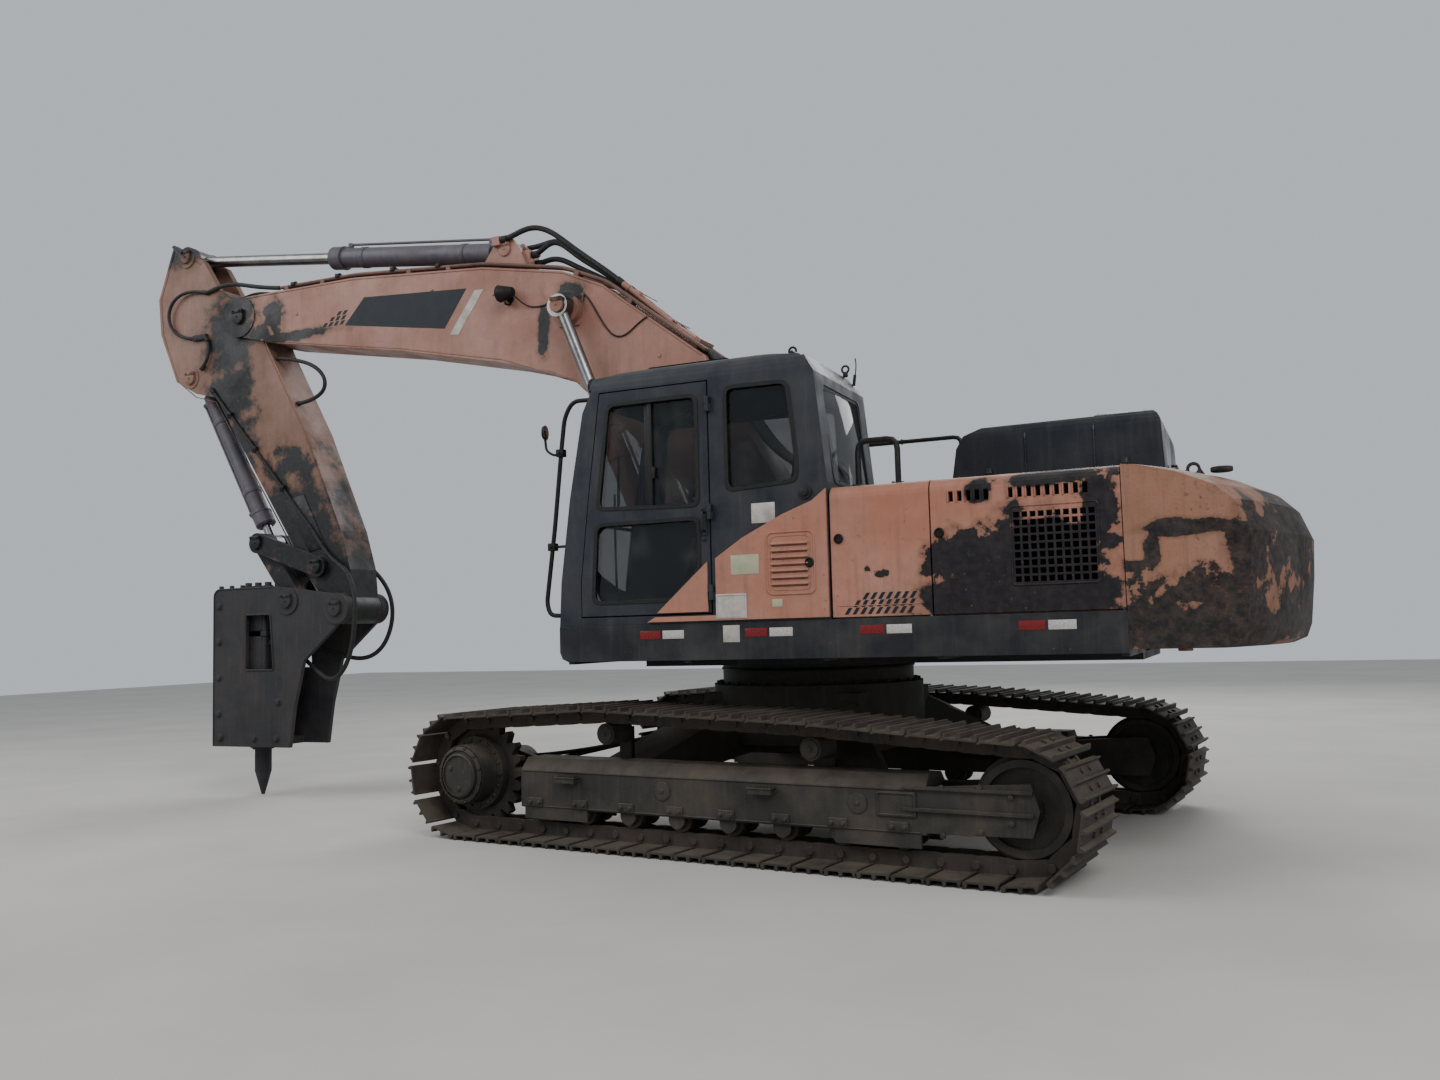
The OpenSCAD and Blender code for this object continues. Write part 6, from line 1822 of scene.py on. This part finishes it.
def addArmTrim():
    side = arm["side"]
    pieces = []
    for x, z, y0, radius in arm["pins"]:
        pieces += addPinEnd(x, z, y0, radius)
    for line in (arm["rear"], arm["front"]):
        pieces.append(addBead(onSide(line, side + 0.0005)))
    pieces.append(addPlate(arm["patch"], "y", side - 0.001, side + 0.008, 0.003))
    whole = bothSides(pieces)
    cap = addPlate(arm["cap"], "y", -0.157, -0.1, 0.003)
    finish("armTrim", whole + [cap, mirrored(cap)], "arm", paintArm)


def addCrimps(route, reach, radius):
    # The crimped ends of a hose
    pieces = []
    for end, after in ((route[0], route[1]), (route[-1], route[-2])):
        a, b = Vector(end), Vector(after)
        pieces.append(addRod(a, a + (b - a).normalized() * reach, radius, 12))
    return pieces


armHoses = {"side": 0.169, "radius": 0.014, "long": ((5.45, 3.5), (5.0, 3.0), (4.3, 2.2)),
    "upper": [(5.5, 0.169, 4.36), (5.68, 0.185, 4.405), (5.86, 0.193, 4.38), (5.96, 0.193, 4.24),
        (5.93, 0.185, 4.08), (5.8, 0.175, 3.985), (5.64, 0.169, 3.97)],
    "lower": [(5.52, 0.169, 3.97), (5.45, 0.175, 3.88), (5.46, 0.179, 3.76), (5.56, 0.179, 3.68)],
    "block": ((5.5, 0.154, 3.945), (5.66, 0.186, 3.995)),
    "loop": [(4.78, 0.11, 3.7), (4.64, 0.13, 3.68), (4.48, 0.15, 3.64), (4.3, 0.16, 3.58),
        (4.18, 0.16, 3.48), (4.17, 0.15, 3.38), (4.26, 0.13, 3.31), (4.42, 0.12, 3.28), (4.56, 0.1, 3.28)],
    "clamps": ((5.22, 3.245), (4.93, 2.92), (4.62, 2.566))}


def addArmHoses():
    side = armHoses["side"]
    straight = [onSide(armHoses["long"], y) for y in (side, -side)]
    bent = [armHoses["upper"], armHoses["lower"]]
    pieces = [addTube(route, armHoses["radius"], route in bent, 8, 3) for route in straight + bent]
    for route in straight + bent:
        pieces += addCrimps(route, 0.055, 0.019)
    pieces.append(addBlock(*armHoses["block"], 0.006))
    hoses = finish("armHoses", pieces, "arm", rubberHose)
    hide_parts("arm_pipes")
    loop = addTube(armHoses["loop"], 0.0165, True, 6, 3)
    pieces = [loop] + addCrimps(armHoses["loop"], 0.06, 0.022)
    finish("armRearLoop", pieces, "arm", rubberHose)
    clamps = []
    for x, z in armHoses["clamps"]:
        for turn in (1, -1):
            low, high = sorted((turn * 0.154, turn * 0.19))
            clamps.append(addBlock((x - 0.022, low, z - 0.026), (x + 0.022, high, z + 0.026), 0.006))
            clamps.append(crossRod(x, z, turn * 0.188, turn * 0.198, 0.009, 6, 0.001))
    finish("armHoseClamps", clamps, "arm", steelDark)


# Both nose hoses follow one line, as X, a small shift to the left and Z
jointHoses = {"radius": 0.018, "noseSide": 0.165, "noseEnd": (5.5, 0.169, 4.36),
    "nose": ((4.66, 0.0, 4.281), (4.85, 0.0, 4.31), (5.05, 0.01, 4.36), (5.22, 0.01, 4.4),
        (5.36, 0.01, 4.39)),
    "noseBend": ((4.8, 0, 4.2), (5.4, 0, 4.2)), "toolBend": ((3.95, 0, 1.9), (3.92, 0, 1.15)),
    "left": ((4.3, 0.169, 2.2), (4.14, 0.175, 1.98), (3.98, 0.2, 1.9), (3.84, 0.235, 1.8), (3.76, 0.27, 1.62),
        (3.76, 0.28, 1.4), (3.79, 0.28, 1.2), (3.88, 0.27, 1.04), (4.02, 0.235, 0.965), (4.18, 0.18, 1.0),
        (4.36, 0.135, 1.11), (4.58, 0.11, 1.24), (4.8, 0.11, 1.3)),
    "right": ((4.3, -0.169, 2.2), (4.14, -0.175, 1.98), (4.0, -0.22, 1.88), (3.88, -0.262, 1.72),
        (3.835, -0.275, 1.54), (3.86, -0.27, 1.36), (3.93, -0.24, 1.2), (4.06, -0.19, 1.12),
        (4.25, -0.14, 1.15), (4.52, -0.11, 1.25), (4.8, -0.11, 1.3))}


def addJointHoses():
    radius, (endX, endY, endZ) = jointHoses["radius"], jointHoses["noseEnd"]
    for side, name in ((1, "noseHoseLeft"), (-1, "noseHoseRight")):
        route = [(x, side * jointHoses["noseSide"] + shift, z) for x, shift, z in jointHoses["nose"]]
        hose = addTube(route + [(endX, side * endY, endZ)], radius, True, 8, 3)
        crossHose(name, hose, ("boom", "arm"), *jointHoses["noseBend"])
    for key, name in (("left", "toolHoseLeft"), ("right", "toolHoseRight")):
        hose = addTube(jointHoses[key], radius, True, 8, 3)
        crossHose(name, hose, ("arm", "tool"), *jointHoses["toolBend"])


# The bracket: a box of plates; its pins and bolts stand on its sides, its nuts on its top
bracket = {"half": 0.235, "top": 1.75, "tieRods": (4.84, 4.95, 5.06), "tieSide": 0.11,
    "topBolts": (5.02, 5.14, 5.26), "topBoltSide": 0.214, "corner": (5.26, 1.68), "cornerRadius": 0.062,
    "sideBolts": ((5.26, 1.6), (5.26, 1.3), (5.26, 1.0), (5.26, 0.7), (5.24, 0.5), (4.62, 0.5), (4.6, 0.8),
        (4.86, 0.5)), "edgeStart": (5.322, 0.44), "edgeEnd": (4.67, 1.742),
    "opening": [(4.65, 1.06), (4.96, 1.06), (4.96, 1.52), (4.69, 1.52)],
    "pins": ((3.986, 1.544, 0.247, 0.06), (4.5, 1.62, 0.247, 0.056))}


def addBracketTrim():
    half, top, side = bracket["half"], bracket["top"], bracket["tieSide"]
    pieces = []
    for x in bracket["tieRods"]:  # tie-rod nuts over the top plate
        for y in (-side, side):
            pieces.append(uprightRod(x, y, top - 0.022, top + 0.045, 0.028, 12))
            pieces.append(uprightRod(x, y, top - 0.02, top + 0.018, 0.044, 6, 0.004))
    for x in bracket["topBolts"]:
        for y in (bracket["topBoltSide"], -bracket["topBoltSide"]):
            pieces.append(uprightRod(x, y, top - 0.006, top + 0.022, 0.02, 6, 0.002))
    for x, z in bracket["sideBolts"]:
        for side in (1, -1):
            pieces.append(crossRod(x, z, side * (half - 0.004), side * (half + 0.018), 0.024, 6, 0.002))
            pieces.append(crossRod(x, z, side * (half - 0.002), side * (half + 0.004), 0.034, 20, 0.001))
    (cx, cz), radius = bracket["corner"], bracket["cornerRadius"]
    angles = [k * math.pi / 12 for k in range(7)]
    edge = [bracket["edgeStart"]] + [(cx + radius * math.cos(a), cz + radius * math.sin(a)) for a in angles]
    edge.append(bracket["edgeEnd"])
    for side in (1, -1):
        y = side * (half + 0.001)
        pieces.append(addBead(onSide(edge, y), 0.006))
        pieces.append(addBorder(onSide(softLoop(bracket["opening"], 0.02), y), 0.008))
    pins = []
    for x, z, y0, radius in bracket["pins"]:
        pins += addPinEnd(x, z, y0, radius)
    finish("breakerTrim", pieces + bothSides(pins), "tool", paintTool)


breaker = {"x": 5.0, "blocks": ((0.5, 0.86), (0.9, 1.34), (1.38, 1.66)), "low": (4.845, -0.174),
    "high": (5.155, 0.174), "rods": (4.832, 5.168), "rodSide": 0.15, "rodEnds": (0.5, 1.68),
    "rodNuts": (0.86, 1.34), "plugs": (0.6, 1.12), "chisel": 0.0675, "point": 0.013,
    "ports": ((4.846, 1.3), (4.812, 1.3)), "portSide": 0.11, "unions": ((4.815, 1.3), (4.745, 1.291))}


def addBreakerBody():
    pieces = []
    (x0, y0), (x1, y1) = breaker["low"], breaker["high"]
    for z0, z1 in breaker["blocks"]:
        pieces.append(addBlock((x0, y0, z0), (x1, y1, z1), 0.016, 3))
    for x in breaker["rods"]:
        for y in (-breaker["rodSide"], breaker["rodSide"]):
            pieces.append(uprightRod(x, y, *breaker["rodEnds"], 0.024, 14, 0.002))
            for z in breaker["rodNuts"]:
                pieces.append(uprightRod(x, y, z, z + 0.04, 0.04, 6))
    for z in breaker["plugs"]:
        pieces.append(addRod((4.8, 0, z), (4.848, 0, z), 0.035, 20, 0.004))
    x, chisel = breaker["x"], breaker["chisel"]
    pieces += [uprightRod(x, 0, 0.205, 0.55, chisel, 32, 0.004),
               addRod((x, 0, 0.21), (x, 0, 0.012), chisel, 32, 0.003, tip=breaker["point"]),
               uprightRod(x, 0, 0.405, 0.47, 0.105, 32, 0.006), uprightRod(x, 0, 0.392, 0.41, 0.088, 32)]
    core = finish("breakerBody", pieces, "tool", paintTool)
    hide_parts("breaker_core")
    ports = []
    for y in (breaker["portSide"], -breaker["portSide"]):
        ports.append(addRod(*onSide(breaker["ports"], y), 0.036, 14, 0.004))
        ports.append(addRod(*onSide(breaker["unions"], y), 0.025, 6))
    finish("breakerPorts", ports, "tool", steelPlain)


# The other joints' pins: X, Z, where the head stands, radius and, where it isn't the usual one, its reach
jointPins = (("kneePin", ((4.88, 2.12, 0.202, 0.055),), "link_arms", "front_dark"),
    ("framePins", ((0.1, 1.8, 0.258, 0.06), (0.86, 1.39, 0.402, 0.055, 0.01)), "house", "house_black"),
    ("armCylinderPin", ((2.42, 4.27, 0.103, 0.052, 0.01),), "boom", "boom_orange"))


def addJointPins():
    for (name, pins, body, slotName), paint in zip(jointPins, (paintArm, paintSkirt, paintBoom)):
        pieces = []
        for pin in pins:
            pieces += addPinEnd(*pin)
        finish(name, bothSides(pieces), body, paint)


addArmTrim()
addArmHoses()
addJointHoses()
addBracketTrim()
addBreakerBody()
addJointPins()
print("arm and breaker done")
